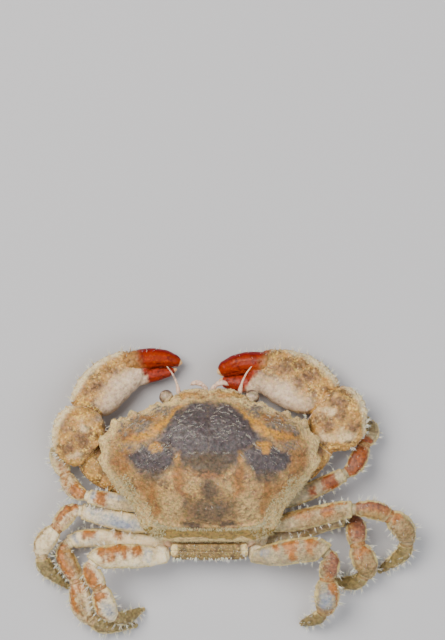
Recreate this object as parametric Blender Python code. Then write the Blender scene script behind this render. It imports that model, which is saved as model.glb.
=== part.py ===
# A small rubble crab (Medaeops), life size, standing on the floor with its claws curled in front.
# X runs to the crab's right, Y to its front and Z up, from the floor under the middle of its spread.
# Lengths are millimetres, and become metres where a mesh is made.

import math
import random

import bmesh
import bpy
from mathutils import Matrix, Vector
from mathutils.bvhtree import BVHTree

MM = 0.001
GAP = 0.3  # left between two pieces that touch in life

# The shell across its last pair of teeth sets the size of all the rest.
SHELL_WIDTH = 25.2
DRAWN_WIDTH = 25.2  # the width at which the sizes below were read
SCALE = SHELL_WIDTH / DRAWN_WIDTH * MM

# Heights above the floor
RIM_FRONT = 5.9
RIM_SIDE = 6.2
RIM_BACK = 5.0
DOME_RISE = 4.4
SHELL_FLOOR = 4.9  # underside of the shell above the legs
MOUTH_FLOOR = 3.05  # underside of the shell above the mouthparts
CHEST_TOP = 4.05
CHEST_BOTTOM = 1.9

# Colours
SAND = (0.62, 0.45, 0.27)
STONE = (0.40, 0.33, 0.30)
IVORY = (0.80, 0.74, 0.64)
RUST = (0.66, 0.33, 0.16)
SCARLET = (0.80, 0.10, 0.02)
PEARL = (0.82, 0.80, 0.78)
OLIVE = (0.52, 0.45, 0.22)
DARK_EYE = (0.12, 0.08, 0.07)

# One half of the shell's outline from the notch in its front, round the teeth, to the back.
HALF_OUTLINE = (
    ((0.0, 10.05), (0.45, 10.28), (1.35, 10.36), (2.5, 10.26), (3.15, 10.02)),  # frontal lobe
    ((3.4, 9.72), (3.95, 9.68), (4.3, 9.1), (4.9, 8.76), (5.5, 8.8), (5.85, 9.12)),  # eye socket
    ((6.3, 8.62), (7.1, 8.08), (8.2, 7.6), (8.95, 7.98), (9.3, 7.1)),  # first tooth
    ((9.8, 7.0), (10.05, 7.22), (10.45, 6.7), (10.95, 7.02), (11.3, 5.85)),  # second, after a denticle
    ((11.75, 5.2), (12.55, 4.9), (12.3, 3.7)),  # third
    ((12.15, 3.15), (12.6, 2.4), (12.15, 1.45)),  # fourth, the widest
    ((11.4, 0.45), (10.55, -0.75), (9.5, -1.85), (8.6, -3.05), (8.05, -4.3)),  # flank
    ((7.65, -5.4), (6.7, -6.35), (5.3, -6.85), (3.6, -6.98), (1.8, -7.0), (0.0, -6.95)),  # hind margin
)
SHELL_MIDDLE = Vector((0.0, 1.6))
TOP_RINGS = (1.0, 0.985, 0.95, 0.9, 0.84, 0.76, 0.66, 0.55, 0.43, 0.3, 0.16)
UNDER_RINGS = (0.25, 0.48, 0.64, 0.76, 0.85, 0.92, 0.98)

# Swellings of the shell on one side: place, half sizes and height.
REGIONS = {
    "frontal": ((1.9, 9.1), (1.5, 0.7), 0.22),
    "protogastric": ((2.7, 6.2), (2.0, 1.9), 0.34),
    "mesogastric": ((0.0, 3.9), (1.7, 1.6), 0.28),
    "hepatic": ((6.9, 6.2), (1.5, 1.2), 0.30),
    "epibranchial": ((9.1, 4.1), (1.8, 1.0), 0.26),
    "inner_branchial": ((6.1, 2.9), (1.9, 1.1), 0.28),
    "outer_branchial": ((8.4, 0.6), (2.0, 1.6), 0.24),
    "mid_branchial": ((5.0, -1.4), (1.6, 1.8), 0.28),
    "hind_branchial": ((5.9, -4.2), (1.6, 1.1), 0.16),
    "cardiac": ((0.9, -0.9), (1.3, 1.3), 0.26),
    "intestinal": ((0.0, -4.0), (2.3, 0.9), 0.16),
}


def smooth_step(low, high, value):
    share = min(1.0, max(0.0, (value - low) / (high - low)))
    return share * share * (3.0 - 2.0 * share)


def mix(first, second, share):
    return first + (second - first) * share


def smooth_pick(values, share):
    # The value at a share of the way along a list, easing from one entry to the next.
    place = min(max(share, 0.0), 1.0) * (len(values) - 1)
    index = min(int(place), len(values) - 2)
    return mix(values[index], values[index + 1], smooth_step(0.0, 1.0, place - index))


def signed_power(value, power):
    return math.copysign(abs(value) ** power, value)


def material_of(name, colour, roughness=0.5):
    material = bpy.data.materials.new(name)
    material.use_nodes = True
    shader = material.node_tree.nodes["Principled BSDF"]
    shader.inputs["Base Color"].default_value = (*colour, 1.0)
    shader.inputs["Roughness"].default_value = roughness
    return material


def add_object(name, mesh, colour, roughness=0.5):
    mesh.materials.append(material_of(name + "_finish", colour, roughness))
    mesh.shade_smooth()
    mesh.set_sharp_from_angle(angle=math.radians(50))
    piece = bpy.data.objects.new(name, mesh)
    PARTS.objects.link(piece)
    return piece


def mesh_from_rings(name, rings):
    # A closed skin over a stack of rings with equal counts of points, flat at both ends.
    body = bmesh.new()
    loops = [[body.verts.new(SCALE * point) for point in ring] for ring in rings]
    for lower, upper in zip(loops, loops[1:]):
        for i, corner in enumerate(lower):
            j = (i + 1) % len(lower)
            body.faces.new((corner, lower[j], upper[j], upper[i]))
    body.faces.new(reversed(loops[0]))
    body.faces.new(loops[-1])
    bmesh.ops.recalc_face_normals(body, faces=body.faces)
    mesh = bpy.data.meshes.new(name)
    body.to_mesh(mesh)
    body.free()
    return mesh


def slice_mesh(mesh, point, outward):
    # Takes off what lies beyond a plane, and closes the cut with a flat face.
    body = bmesh.new()
    body.from_mesh(mesh)
    cut = bmesh.ops.bisect_plane(
        body,
        geom=body.verts[:] + body.edges[:] + body.faces[:],
        dist=1e-7,
        plane_co=SCALE * Vector(point),
        plane_no=Vector(outward),
        clear_outer=True,
    )
    rim = [item for item in cut["geom_cut"] if isinstance(item, bmesh.types.BMEdge)]
    bmesh.ops.edgeloop_fill(body, edges=rim)
    bmesh.ops.recalc_face_normals(body, faces=body.faces)
    body.to_mesh(mesh)
    body.free()


def stand_on_floor(mesh):
    # A small flat at floor level on whatever reaches down to it.
    slice_mesh(mesh, (0.0, 0.0, 0.0), (0.0, 0.0, -1.0))


def keep_largest(mesh):
    # Drops all but the biggest closed surface, such as a scrap that a union leaves behind.
    body = bmesh.new()
    body.from_mesh(mesh)
    waiting, shells = set(body.verts), []
    while waiting:
        front = [waiting.pop()]
        shell = set(front)
        while front:
            vertex = front.pop()
            near = {edge.other_vert(vertex) for edge in vertex.link_edges} - shell
            shell |= near
            front += near
        waiting -= shell
        shells.append(shell)
    biggest = max(shells, key=len)
    bmesh.ops.delete(body, geom=[vertex for vertex in body.verts if vertex not in biggest], context="VERTS")
    body.to_mesh(mesh)
    body.free()


def centre_on_origin():
    # Brings the middle of the whole spread over the origin, with the floor at zero.
    corners = [vertex.co for piece in PARTS.objects for vertex in piece.data.vertices]
    low, high = [[pick(corner[i] for corner in corners) for i in range(3)] for pick in (min, max)]
    shift = Vector((-(low[0] + high[0]) / 2.0, -(low[1] + high[1]) / 2.0, -low[2]))
    for piece in PARTS.objects:
        piece.data.transform(Matrix.Translation(shift))


def join_pieces(base, extras):
    # One Boolean union of a piece with those that grow from it.
    group = bpy.data.collections.new(base.name + "_extras")
    for extra in extras:
        PARTS.objects.unlink(extra)
        group.objects.link(extra)
    union = base.modifiers.new("Union", "BOOLEAN")
    union.operation = "UNION"
    union.operand_type = "COLLECTION"
    union.collection = group
    union.solver = "EXACT"
    bpy.context.view_layer.update()
    joined = bpy.data.meshes.new_from_object(base.evaluated_get(bpy.context.evaluated_depsgraph_get()))
    base.modifiers.remove(union)
    base.data = joined
    for extra in extras:
        bpy.data.objects.remove(extra)
    bpy.data.collections.remove(group)


class Tube:
    # A bent tube of changing width, along a curve through its points. Its end faces are square to
    # the two ways if these are given, so that two tubes can meet face to face.

    def __init__(self, points, widths, heights, squareness=2.3, ways=(None, None)):
        self.points = [Vector(point) for point in points]
        self.widths = widths
        self.heights = heights
        self.power = 2.0 / squareness
        self.ways = ways

    def centre(self, share):
        # A Catmull-Rom curve through the points, which runs straight on past both ends.
        count = len(self.points) - 1
        place = min(max(share, 0.0), 1.0) * count
        index = min(int(place), count - 1)
        t = place - index
        here, there = self.points[index], self.points[index + 1]
        before = self.points[index - 1] if index > 0 else here * 2.0 - there
        after = self.points[index + 2] if index + 2 <= count else there * 2.0 - here
        return 0.5 * (
            2.0 * here
            + (there - before) * t
            + (2.0 * before - 5.0 * here + 4.0 * there - after) * t**2
            + (3.0 * here - before - 3.0 * there + after) * t**3
        )

    def frame(self, share):
        step = 0.01
        low, high = max(share - step, 0.0), min(share + step, 1.0)
        along = (self.centre(high) - self.centre(low)).normalized()
        if share == 0.0 and self.ways[0]:
            along = self.ways[0]
        if share == 1.0 and self.ways[1]:
            along = self.ways[1]
        side = along.cross(Vector((0.0, 0.0, 1.0))).normalized()
        return self.centre(share), side, side.cross(along)

    def point(self, share, angle, swell=1.0):
        centre, side, up = self.frame(share)
        width = 0.5 * swell * smooth_pick(self.widths, share)
        height = 0.5 * swell * smooth_pick(self.heights, share)
        across = signed_power(math.cos(angle), self.power) * width
        above = signed_power(math.sin(angle), self.power) * height
        return centre + side * across + up * above

    def mesh(self, name, sides, stations, rounding=0.0):
        # Rounding is the share of the length over which the far end closes like a fingertip.
        rings = []
        for i in range(stations + 1):
            share = i / stations
            swell = 1.0
            if rounding and share > 1.0 - rounding:
                swell = math.sqrt(max(0.02, 1.0 - ((share - 1.0 + rounding) / rounding) ** 2))
            rings.append([self.point(share, math.tau * k / sides, swell) for k in range(sides)])
        return mesh_from_rings(name, rings)


def times(values, factor):
    return [value * factor for value in values]


# The shell

def outline_points():
    half = [Vector(point) for stretch in HALF_OUTLINE for point in stretch]
    filled = []
    for start, end in zip(half, half[1:]):
        steps = max(1, round((end - start).length / 0.95))
        filled += [mix(start, end, i / steps) for i in range(steps)]
    filled.append(half[-1])
    return filled + [Vector((-point.x, point.y)) for point in reversed(filled[1:-1])]


def even_outline(points):
    # The outline with its teeth and notches ironed out, for the rings inside the rim.
    reach = 5
    spokes = [(point - SHELL_MIDDLE) for point in points]
    count = len(spokes)
    return [
        SHELL_MIDDLE + sum((spokes[(i + k) % count] for k in range(-reach, reach + 1)), Vector((0.0, 0.0)))
        / (2 * reach + 1)
        for i in range(count)
    ]


def rim_height(x, y):
    height = mix(RIM_BACK, RIM_SIDE, smooth_step(-6.9, 1.5, y))
    return mix(height, RIM_FRONT, smooth_step(6.0, 3.0, abs(x)) * smooth_step(6.0, 9.0, y))


def relief(x, y):
    height = 0.0
    for (place_x, place_y), (half_x, half_y), rise in REGIONS.values():
        distance = ((abs(x) - place_x) / half_x) ** 2 + ((y - place_y) / half_y) ** 2
        height += rise * math.exp(-distance ** 1.5)
    return height


def shell_top(x, y, ring):
    dome = (1.0 - ring ** 2.4) ** 0.62
    return rim_height(x, y) + DOME_RISE * dome + relief(x, y) * smooth_step(1.0, 0.9, ring)


def shell_under(x, y, ring):
    rim = rim_height(x, y)
    lateral = min(SHELL_FLOOR, rim - 0.65)
    mouth = smooth_step(1.9, 3.2, y) * smooth_step(7.6, 5.2, abs(x)) * smooth_step(9.6, 8.4, y)
    inner = mix(lateral, MOUTH_FLOOR, mouth)
    return mix(inner, rim - 0.4, smooth_step(0.8, 0.99, ring))


def shell_ring(toothed, even, ring, height_at):
    share = smooth_step(0.78, 1.0, ring)
    points = []
    for sharp, soft in zip(toothed, even):
        flat = SHELL_MIDDLE + (mix(soft, sharp, share) - SHELL_MIDDLE) * ring
        points.append(Vector((flat.x, flat.y, height_at(flat.x, flat.y, ring))))
    return points


def add_shell():
    toothed = outline_points()
    even = even_outline(toothed)
    rings = [shell_ring(toothed, even, ring, shell_under) for ring in UNDER_RINGS]
    rings += [shell_ring(toothed, even, ring, shell_top) for ring in TOP_RINGS]
    add_object("carapace", mesh_from_rings("carapace", rings), STONE, 0.45)


# The underside

CHEST_STATIONS = (  # place along Y, half width, underside and top
    (2.2, 1.3, 2.25, 2.7),
    (1.6, 3.4, 2.05, 3.5),
    (0.8, 5.0, 1.95, 3.95),
    (-1.0, 5.2, CHEST_BOTTOM, CHEST_TOP),
    (-3.5, 5.25, CHEST_BOTTOM, CHEST_TOP),
    (-6.2, 5.25, CHEST_BOTTOM, CHEST_TOP),
    (-7.3, 5.1, 1.95, CHEST_TOP),
    (-7.8, 4.35, 2.1, 3.95),
    (-8.15, 3.6, 2.3, 3.8),
)


def boxy_ring(y, half_width, low, high, sides=20):
    ring = []
    for i in range(sides):
        angle = math.tau * i / sides
        x = half_width * signed_power(math.cos(angle), 0.5)
        z = mix(low, high, 0.5 + 0.5 * signed_power(math.sin(angle), 0.62))
        ring.append(Vector((x, y, z)))
    return ring


def add_chest():
    rings = [boxy_ring(*station) for station in CHEST_STATIONS]
    add_object("sternum", mesh_from_rings("sternum", rings), IVORY)


TAIL_THICKNESS = 0.6
TAIL_BACK = (  # half width, then place along Y and Z of the plate's middle
    (4.2, -7.25, 4.68),
    (4.4, -7.9, 4.62),
    (4.35, -8.55, 4.25),
    (4.1, -8.85, 3.6),
    (3.9, -8.9, 2.85),
)
TAIL_FLAP = (
    (3.4, -8.75, 2.2),
    (2.9, -8.4, 1.55),
    (2.1, -7.6, 1.22),
    (1.7, -6.5, 1.15),
    (1.45, -5.3, 1.15),
    (1.2, -4.3, 1.18),
    (0.5, -3.5, 1.22),
)


def plate_rings(stations, thickness, sides=12):
    # A strip that follows its stations in the plane of symmetry, rounded at its edges.
    rings = []
    for i, (half_width, y, z) in enumerate(stations):
        _, y0, z0 = stations[max(i - 1, 0)]
        _, y1, z1 = stations[min(i + 1, len(stations) - 1)]
        way = Vector((0.0, y1 - y0, z1 - z0)).normalized()
        out = way.cross(Vector((1.0, 0.0, 0.0)))
        ring = []
        for k in range(sides):
            angle = math.tau * k / sides
            x = half_width * signed_power(math.cos(angle), 0.6)
            off = 0.5 * thickness * signed_power(math.sin(angle), 0.7)
            ring.append(Vector((x, y, z)) + out * off)
        rings.append(ring)
    return rings


def add_tail():
    for name, stations in (("abdomen_back", TAIL_BACK), ("abdomen_flap", TAIL_FLAP)):
        mesh = mesh_from_rings(name, plate_rings(stations, TAIL_THICKNESS))
        add_object(name, mesh, SAND)


JAW_PATH = ((2.55, 2.5, 2.5), (2.55, 4.2, 2.42), (2.5, 6.2, 2.4), (2.5, 7.75, 2.45))
JAW_WIDTHS = (3.3, 4.1, 4.3, 4.3, 4.0, 3.4)
JAW_THICKNESSES = (0.5, 0.62, 0.66, 0.66, 0.6, 0.5)


def add_mouthparts():
    # The outer pair of jaws, flat plates that close over the mouth.
    for name, turn in (("maxilliped_left", -1.0), ("maxilliped_right", 1.0)):
        plate = Tube(
            [(turn * x, y, z) for x, y, z in JAW_PATH],
            JAW_WIDTHS,
            JAW_THICKNESSES,
            squareness=3.2,
        )
        add_object(name, plate.mesh(name, 16, 8), IVORY)


# The head

EYE_PATH = ((4.3, 9.5, 5.1), (4.75, 9.62, 5.35), (5.3, 9.74, 5.55))
EYE_WIDTHS = (0.6, 0.72, 1.1, 1.3, 1.1)
ANTENNA_PATH = ((3.5, 10.35, 5.45), (3.68, 11.2, 5.75), (4.1, 12.1, 6.05), (4.8, 12.9, 6.2))
ANTENNA_WIDTHS = (0.62, 0.52, 0.42, 0.32, 0.22)
ANTENNULE_PATH = ((0.5, 10.62, 5.3), (0.95, 10.98, 5.45), (1.65, 11.1, 5.4), (2.2, 10.8, 5.2))
ANTENNULE_WIDTHS = (0.5, 0.52, 0.62, 0.62, 0.3)


def add_head():
    pieces = {
        "eye": (EYE_PATH, EYE_WIDTHS, 12, 9, 0.3, DARK_EYE),
        "antenna": (ANTENNA_PATH, ANTENNA_WIDTHS, 8, 12, 0.06, PEARL),
        "antennule": (ANTENNULE_PATH, ANTENNULE_WIDTHS, 8, 9, 0.15, PEARL),
    }
    for kind, (path, widths, sides, stations, rounding, colour) in pieces.items():
        for side, turn in (("left", -1.0), ("right", 1.0)):
            name = kind + "_" + side
            tube = Tube([(turn * x, y, z) for x, y, z in path], widths, widths, 2.0)
            add_object(name, tube.mesh(name, sides, stations, rounding), colour, 0.3)


# The walking legs

# Each leg runs hip, knee, ankle, heel, toe. Then come the widths of its four segments as seen from
# above, how much it sweeps back and up as it leaves the body, and how far its knee faces the thigh.
LEGS = {
    "leg2_left": (
        ((-5.55, -2.8, 3.0), (-13.9, -1.8, 4.8), (-16.4, 0.5, 2.7), (-16.7, 4.2, 1.5), (-12.9, 3.2, 0.25)),
        (1.95, 2.0, 2.1, 1.4),
        (0.12, 0.2, 0.7),
    ),
    "leg3_left": (
        (
            (-5.6, -4.95, 3.15), (-14.7, -3.55, 3.4), (-17.4, -5.5, 3.7),
            (-19.1, -8.8, 2.2), (-16.0, -12.6, 0.25),
        ),
        (2.25, 2.1, 2.3, 1.9),
        (0.5, 0.12, 1.0),
    ),
    "leg4_left": (
        (
            (-5.55, -7.0, 2.25), (-16.0, -7.3, 1.9), (-15.1, -11.6, 3.0),
            (-13.4, -16.1, 1.8), (-8.1, -16.8, 0.25),
        ),
        (2.15, 2.2, 2.6, 1.8),
        (0.1, -0.1, 0.6),
    ),
    "leg5_left": (
        (
            (-4.75, -8.6, 3.9), (-13.2, -9.45, 5.1), (-12.5, -12.2, 4.8),
            (-10.8, -15.6, 3.1), (-7.3, -14.9, 0.25),
        ),
        (2.8, 2.2, 2.6, 1.6),
        (0.25, 0.1, 0.5),
    ),
    "leg2_right": (
        ((5.55, -2.8, 2.9), (15.5, 0.7, 3.7), (17.6, 3.9, 2.8), (18.1, 6.4, 1.6), (14.0, 6.3, 0.25)),
        (2.0, 2.1, 2.2, 1.4),
        (0.3, 0.04, 0.7),
    ),
    "leg3_right": (
        ((5.6, -4.95, 3.3), (16.4, -3.3, 5.2), (20.4, -4.1, 4.8), (22.5, -7.2, 2.8), (19.3, -10.8, 0.25)),
        (2.35, 2.2, 2.7, 1.9),
        (0.35, 0.16, 0.6),
    ),
    "leg4_right": (
        ((5.55, -7.0, 2.4), (15.9, -4.6, 2.2), (16.9, -7.4, 3.3), (17.6, -11.0, 2.1), (12.9, -11.9, 0.25)),
        (2.15, 2.4, 2.9, 1.8),
        (0.25, -0.04, 0.6),
    ),
    "leg5_right": (
        ((4.75, -8.5, 3.9), (13.3, -8.3, 5.2), (13.4, -11.2, 4.8), (12.9, -15.1, 3.0), (10.3, -16.7, 0.25)),
        (2.9, 2.3, 2.9, 1.6),
        (0.35, 0.1, 0.5),
    ),
}
# Widths along each segment, as shares of its greatest width.
SEGMENTS = {
    "merus": (0.6, 0.66, 0.86, 1.0, 1.0, 0.98, 0.92, 0.78),
    "carpus": (0.64, 0.82, 0.98, 1.0, 0.94, 0.8),
    "propodus": (0.7, 0.92, 1.0, 0.98, 0.82, 0.62),
    "dactylus": (0.86, 1.0, 0.92, 0.76, 0.56, 0.3),
}
SEGMENT_COLOURS = {"merus": IVORY, "carpus": RUST, "propodus": IVORY, "dactylus": OLIVE}
LEG_DEPTH = 0.86  # height of a segment as a share of its width
LEG_SIDES = 8
LEG_STATIONS = 7


def joint_ways(joints, lag, lift, lean):
    # The direction in which the limb passes through each joint, between its two segments.
    chords = [(b - a).normalized() for a, b in zip(joints, joints[1:])]
    outward = Vector((math.copysign(1.0, joints[0].x), -lag, lift)).normalized()
    middle = [mix(b, a, share).normalized() for a, b, share in zip(chords, chords[1:], (lean, 0.5, 0.5))]
    return [outward] + middle + [chords[-1]]


def segment_path(start, way_in, end, way_out, bend):
    # Four points that leave one joint and reach the next square to their faces.
    length = (end - start).length
    first = start + way_in * GAP / 2.0
    last = end - way_out * GAP / 2.0
    a = first + way_in * length * bend
    b = last - way_out * length * bend
    points = []
    for i in range(7):
        t = i / 6
        points.append(first * (1 - t) ** 3 + a * 3 * t * (1 - t) ** 2 + b * 3 * t**2 * (1 - t) + last * t**3)
    return points


def add_leg(name, places, breadths, sweep):
    joints = [Vector(place) for place in places]
    ways = joint_ways(joints, *sweep)
    for i, (segment, profile) in enumerate(SEGMENTS.items()):
        bend = 0.18 if segment == "merus" else 0.36
        path = segment_path(joints[i], ways[i], joints[i + 1], ways[i + 1], bend)
        widths = times(profile, breadths[i])
        tube = Tube(path, widths, times(widths, LEG_DEPTH), ways=(ways[i], ways[i + 1]))
        piece = name + "_" + segment
        TUBES[piece] = tube
        mesh = tube.mesh(piece, LEG_SIDES, LEG_STATIONS)
        if segment == "dactylus":
            stand_on_floor(mesh)
        add_object(piece, mesh, SEGMENT_COLOURS[segment])


# The claws

CLAWS = {
    "claw_left": {
        "arm": (
            (-5.55, 0.1, 2.75), (-7.6, 0.1, 2.85), (-10.2, 0.55, 3.05),
            (-12.3, 1.55, 3.25), (-13.5, 2.75, 3.4),
        ),
        "arm_widths": (2.3, 3.3, 4.2, 4.4, 4.2, 3.8),
        "arm_heights": (1.9, 2.3, 2.7, 2.8, 2.7, 2.4),
        "wrist_middle": (-14.8, 5.0, 4.25),
        "wrist_half": (3.05, 3.45, 1.7),
        "palm": (
            (-13.85, 7.85, 3.15), (-13.35, 8.9, 2.6), (-12.0, 10.5, 2.0),
            (-10.2, 11.9, 1.8), (-8.35, 12.75, 1.8),
        ),
        "palm_widths": (3.6, 4.9, 5.5, 5.5, 5.1, 4.3),
        "palm_heights": (2.5, 3.3, 3.75, 3.7, 3.4, 2.6),
        "fixed_finger": (
            (-9.6, 11.3, 1.75), (-8.0, 11.65, 1.7), (-6.3, 11.95, 1.6),
            (-4.8, 12.2, 1.5), (-3.6, 12.6, 1.5),
        ),
        "fixed_widths": (1.9, 2.0, 1.7, 1.15, 0.4),
        "finger": (
            (-8.25, 13.55, 2.1), (-6.9, 14.0, 2.15), (-5.4, 14.0, 2.0),
            (-4.1, 13.75, 1.8), (-3.05, 13.4, 1.65),
        ),
        "finger_widths": (1.7, 1.85, 1.7, 1.25, 0.45),
    },
    "claw_right": {
        "arm": (
            (5.55, 0.2, 2.75), (7.6, 0.55, 2.85), (9.8, 1.4, 3.05),
            (11.5, 2.65, 3.25), (12.6, 4.1, 3.4),
        ),
        "arm_widths": (2.3, 3.3, 4.1, 4.2, 3.9, 3.6),
        "arm_heights": (1.9, 2.3, 2.7, 2.9, 2.8, 2.5),
        "wrist_middle": (14.45, 7.0, 4.3),
        "wrist_half": (3.45, 3.8, 1.75),
        "palm": (
            (12.3, 9.4, 3.2), (11.3, 10.25, 2.75), (9.4, 11.3, 2.3),
            (7.3, 12.0, 2.15), (5.65, 12.3, 2.1),
        ),
        "palm_widths": (4.0, 5.7, 6.6, 6.5, 5.9, 4.8),
        "palm_heights": (2.7, 3.8, 4.35, 4.3, 3.9, 3.0),
        "fixed_finger": (
            (6.6, 10.9, 1.95), (5.0, 10.9, 1.9), (3.5, 10.95, 1.8),
            (2.2, 11.05, 1.7), (1.05, 11.3, 1.65),
        ),
        "fixed_widths": (2.1, 2.3, 1.9, 1.3, 0.4),
        "finger": (
            (5.55, 13.4, 2.4), (4.3, 13.5, 2.4), (3.1, 13.25, 2.2),
            (1.9, 12.75, 2.0), (0.9, 12.15, 1.85),
        ),
        "finger_widths": (1.9, 2.05, 1.8, 1.3, 0.45),
    },
}
PALM_SIDES = 16


def wrist_mesh(name, spec):
    # A rounded block, sliced flat where the arm and the palm meet it.
    body = bmesh.new()
    bmesh.ops.create_uvsphere(body, u_segments=20, v_segments=11, radius=1.0)
    half = Vector(spec["wrist_half"])
    for vertex in body.verts:
        point = Vector(signed_power(value, 0.86) * size for value, size in zip(vertex.co, half))
        vertex.co = SCALE * (point + Vector(spec["wrist_middle"]))
    mesh = bpy.data.meshes.new(name)
    body.to_mesh(mesh)
    body.free()
    for end, before in ((spec["arm"][-1], spec["arm"][-2]), (spec["palm"][0], spec["palm"][1])):
        way = (Vector(end) - Vector(before)).normalized()
        slice_mesh(mesh, Vector(end) + way * GAP, -way)
    return mesh


def add_claw(name, spec):
    arm = TUBES[name + "_arm"] = Tube(spec["arm"], spec["arm_widths"], spec["arm_heights"])
    add_object(name + "_arm", arm.mesh(name + "_arm", 14, 9), IVORY)
    add_object(name + "_wrist", wrist_mesh(name + "_wrist", spec), SAND)

    palm = TUBES[name + "_palm"] = Tube(spec["palm"], spec["palm_widths"], spec["palm_heights"], 2.4)
    palm_piece = add_object(name + "_palm", palm.mesh(name + "_palm", PALM_SIDES, 11), SAND)
    fixed = Tube(spec["fixed_finger"], spec["fixed_widths"], times(spec["fixed_widths"], 0.92), 2.1)
    fixed_piece = add_object(name + "_fixed", fixed.mesh(name + "_fixed", 12, 9), SCARLET, 0.3)
    join_pieces(palm_piece, [fixed_piece])
    stand_on_floor(palm_piece.data)

    knuckle = (Vector(spec["palm"][-1]) - Vector(spec["palm"][-2])).normalized()
    finger = TUBES[name + "_finger"] = Tube(
        spec["finger"], spec["finger_widths"], times(spec["finger_widths"], 0.95), 2.1, (knuckle, None)
    )
    add_object(name + "_finger", finger.mesh(name + "_finger", 12, 10), SCARLET, 0.3)


# The bristles

BRISTLE_LENGTH = 0.85
BRISTLE_BASE = 0.46
BRISTLE_TIP = 0.14
SHORT_BRISTLE = 0.6  # share of that length on the shell and the tail
BRISTLE_SUNK = 0.26
FREE_SPACE = 0.32  # kept clear between a bristle and any other piece
# Rows along a tube: the side it grows from, first and last place, and how many. The outer side of a
# limb is the one that faces away from the bend of its knee.
BRISTLE_ROWS = {
    "merus": (("outer", 0.4, 0.94, 5), ("inner", 0.4, 0.92, 4)),
    "carpus": (("outer", 0.2, 0.85, 3), ("inner", 0.45, 0.8, 1)),
    "propodus": (("outer", 0.12, 0.88, 4), ("inner", 0.2, 0.9, 2)),
    "dactylus": (("outer", 0.15, 0.8, 4), ("inner", 0.3, 0.85, 3)),
    "arm": (("outer", 0.5, 0.92, 4),),
    "palm": (("outer", 0.12, 0.93, 8),),
    "finger": (("outer", 0.15, 0.65, 3),),
}


def surface_tree(mesh):
    points = [vertex.co / SCALE for vertex in mesh.vertices]
    return BVHTree.FromPolygons(points, [list(face.vertices) for face in mesh.polygons])


def has_room(name, root, tip, trees, planted):
    # True if a bristle keeps clear of the floor, the other pieces and the bristles of other pieces.
    if tip.z < 0.3:
        return False
    for step in range(1, 6):
        point = mix(root, tip, step / 5)
        reach = FREE_SPACE + 0.5 * mix(BRISTLE_BASE, BRISTLE_TIP, step / 5)
        for other, tree in trees.items():
            if other != name and tree.find_nearest(point, reach)[0] is not None:
                return False
        for other, other_root, other_tip in planted:
            spots = [mix(other_root, other_tip, k / 4) for k in range(5)]
            if other != name and min((point - spot).length for spot in spots) < 2.0 * reach:
                return False
    return True


def add_cone(name, root, way, length):
    body = bmesh.new()
    turn = way.to_track_quat("Z", "Y").to_matrix().to_4x4()
    middle = root + way * (length - BRISTLE_SUNK) / 2.0
    bmesh.ops.create_cone(
        body,
        cap_ends=True,
        segments=4,
        radius1=BRISTLE_BASE / 2.0,
        radius2=BRISTLE_TIP / 2.0,
        depth=length + BRISTLE_SUNK,
        matrix=Matrix.Translation(middle) @ turn,
    )
    bmesh.ops.scale(body, vec=Vector((SCALE, SCALE, SCALE)), verts=body.verts)
    mesh = bpy.data.meshes.new(name)
    body.to_mesh(mesh)
    body.free()
    cone = bpy.data.objects.new(name, mesh)
    PARTS.objects.link(cone)
    return cone


def tube_roots(name, tube):
    # Where the bristles of a limb's piece stand on its skin, and which way they point.
    limb, segment = name.rsplit("_", 1)
    turned = "right" in limb
    if "claw" in limb or "leg2" in limb:
        turned = not turned
    for side, first, last, count in BRISTLE_ROWS.get(segment, ()):
        angle = math.pi if turned == (side == "outer") else 0.0
        for i in range(count):
            share = mix(first, last, (i + 0.5) / count)
            centre, across, up = tube.frame(share)
            lean = DICE.uniform(-0.25, 0.35)
            root = tube.point(share, angle + lean)
            along = up.cross(across)
            yield root, ((root - centre).normalized() + along * DICE.uniform(-0.15, 0.5)).normalized()


def wrist_roots(spec):
    # Round the outer side of a claw's wrist, between the arm and the palm.
    middle, half = Vector(spec["wrist_middle"]), Vector(spec["wrist_half"])
    outward = 0.0 if middle.x > 0.0 else math.pi
    for i in range(6):
        angle = outward + (i - 2.5) * 0.34
        spoke = Vector((math.cos(angle), math.sin(angle), DICE.uniform(-0.1, 0.25)))
        root = middle + Vector(a * b * 0.97 for a, b in zip(spoke, half))
        yield root, (root - middle).normalized()


def flank_roots():
    # Short ones along the shell's hind flanks.
    for turn in (-1.0, 1.0):
        for x, y in ((11.1, 0.0), (10.2, -1.15), (9.35, -2.1), (8.55, -3.3), (8.0, -4.4), (7.5, -5.5)):
            way = Vector((turn * 0.93, -0.36, 0.1)).normalized()
            yield Vector((turn * x, y, rim_height(x, y) - 0.1)) - way * 0.1, way


def tail_roots():
    for i in range(6):
        x = mix(-3.4, 3.4, i / 5)
        yield Vector((x, -8.95, 4.1 + DICE.uniform(-0.4, 0.3))), Vector((0.04 * x, -1.0, 0.15)).normalized()


def add_bristles():
    roots = {name: list(tube_roots(name, tube)) for name, tube in TUBES.items()}
    for name, spec in CLAWS.items():
        roots[name + "_wrist"] = list(wrist_roots(spec))
    roots["carapace"] = list(flank_roots())
    roots["abdomen_back"] = list(tail_roots())
    trees = {piece.name: surface_tree(piece.data) for piece in PARTS.objects}
    planted = []
    for name, places in roots.items():
        cones = []
        full = SHORT_BRISTLE if name in ("carapace", "abdomen_back") else 1.0
        for root, way in places:
            length = full * BRISTLE_LENGTH * DICE.uniform(0.8, 1.15)
            tip = root + way * length
            if has_room(name, root, tip, trees, planted):
                planted.append((name, root, tip))
                cones.append(add_cone(name + "_bristle", root, way, length))
        if cones:
            join_pieces(PARTS.objects[name], cones)
            keep_largest(PARTS.objects[name].data)


for startup in list(bpy.data.objects):
    bpy.data.objects.remove(startup)
PARTS = bpy.data.collections.new("crab")
TUBES = {}  # the limbs' tubes, for the bristles on them
DICE = random.Random(11)
bpy.context.scene.collection.children.link(PARTS)

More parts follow.
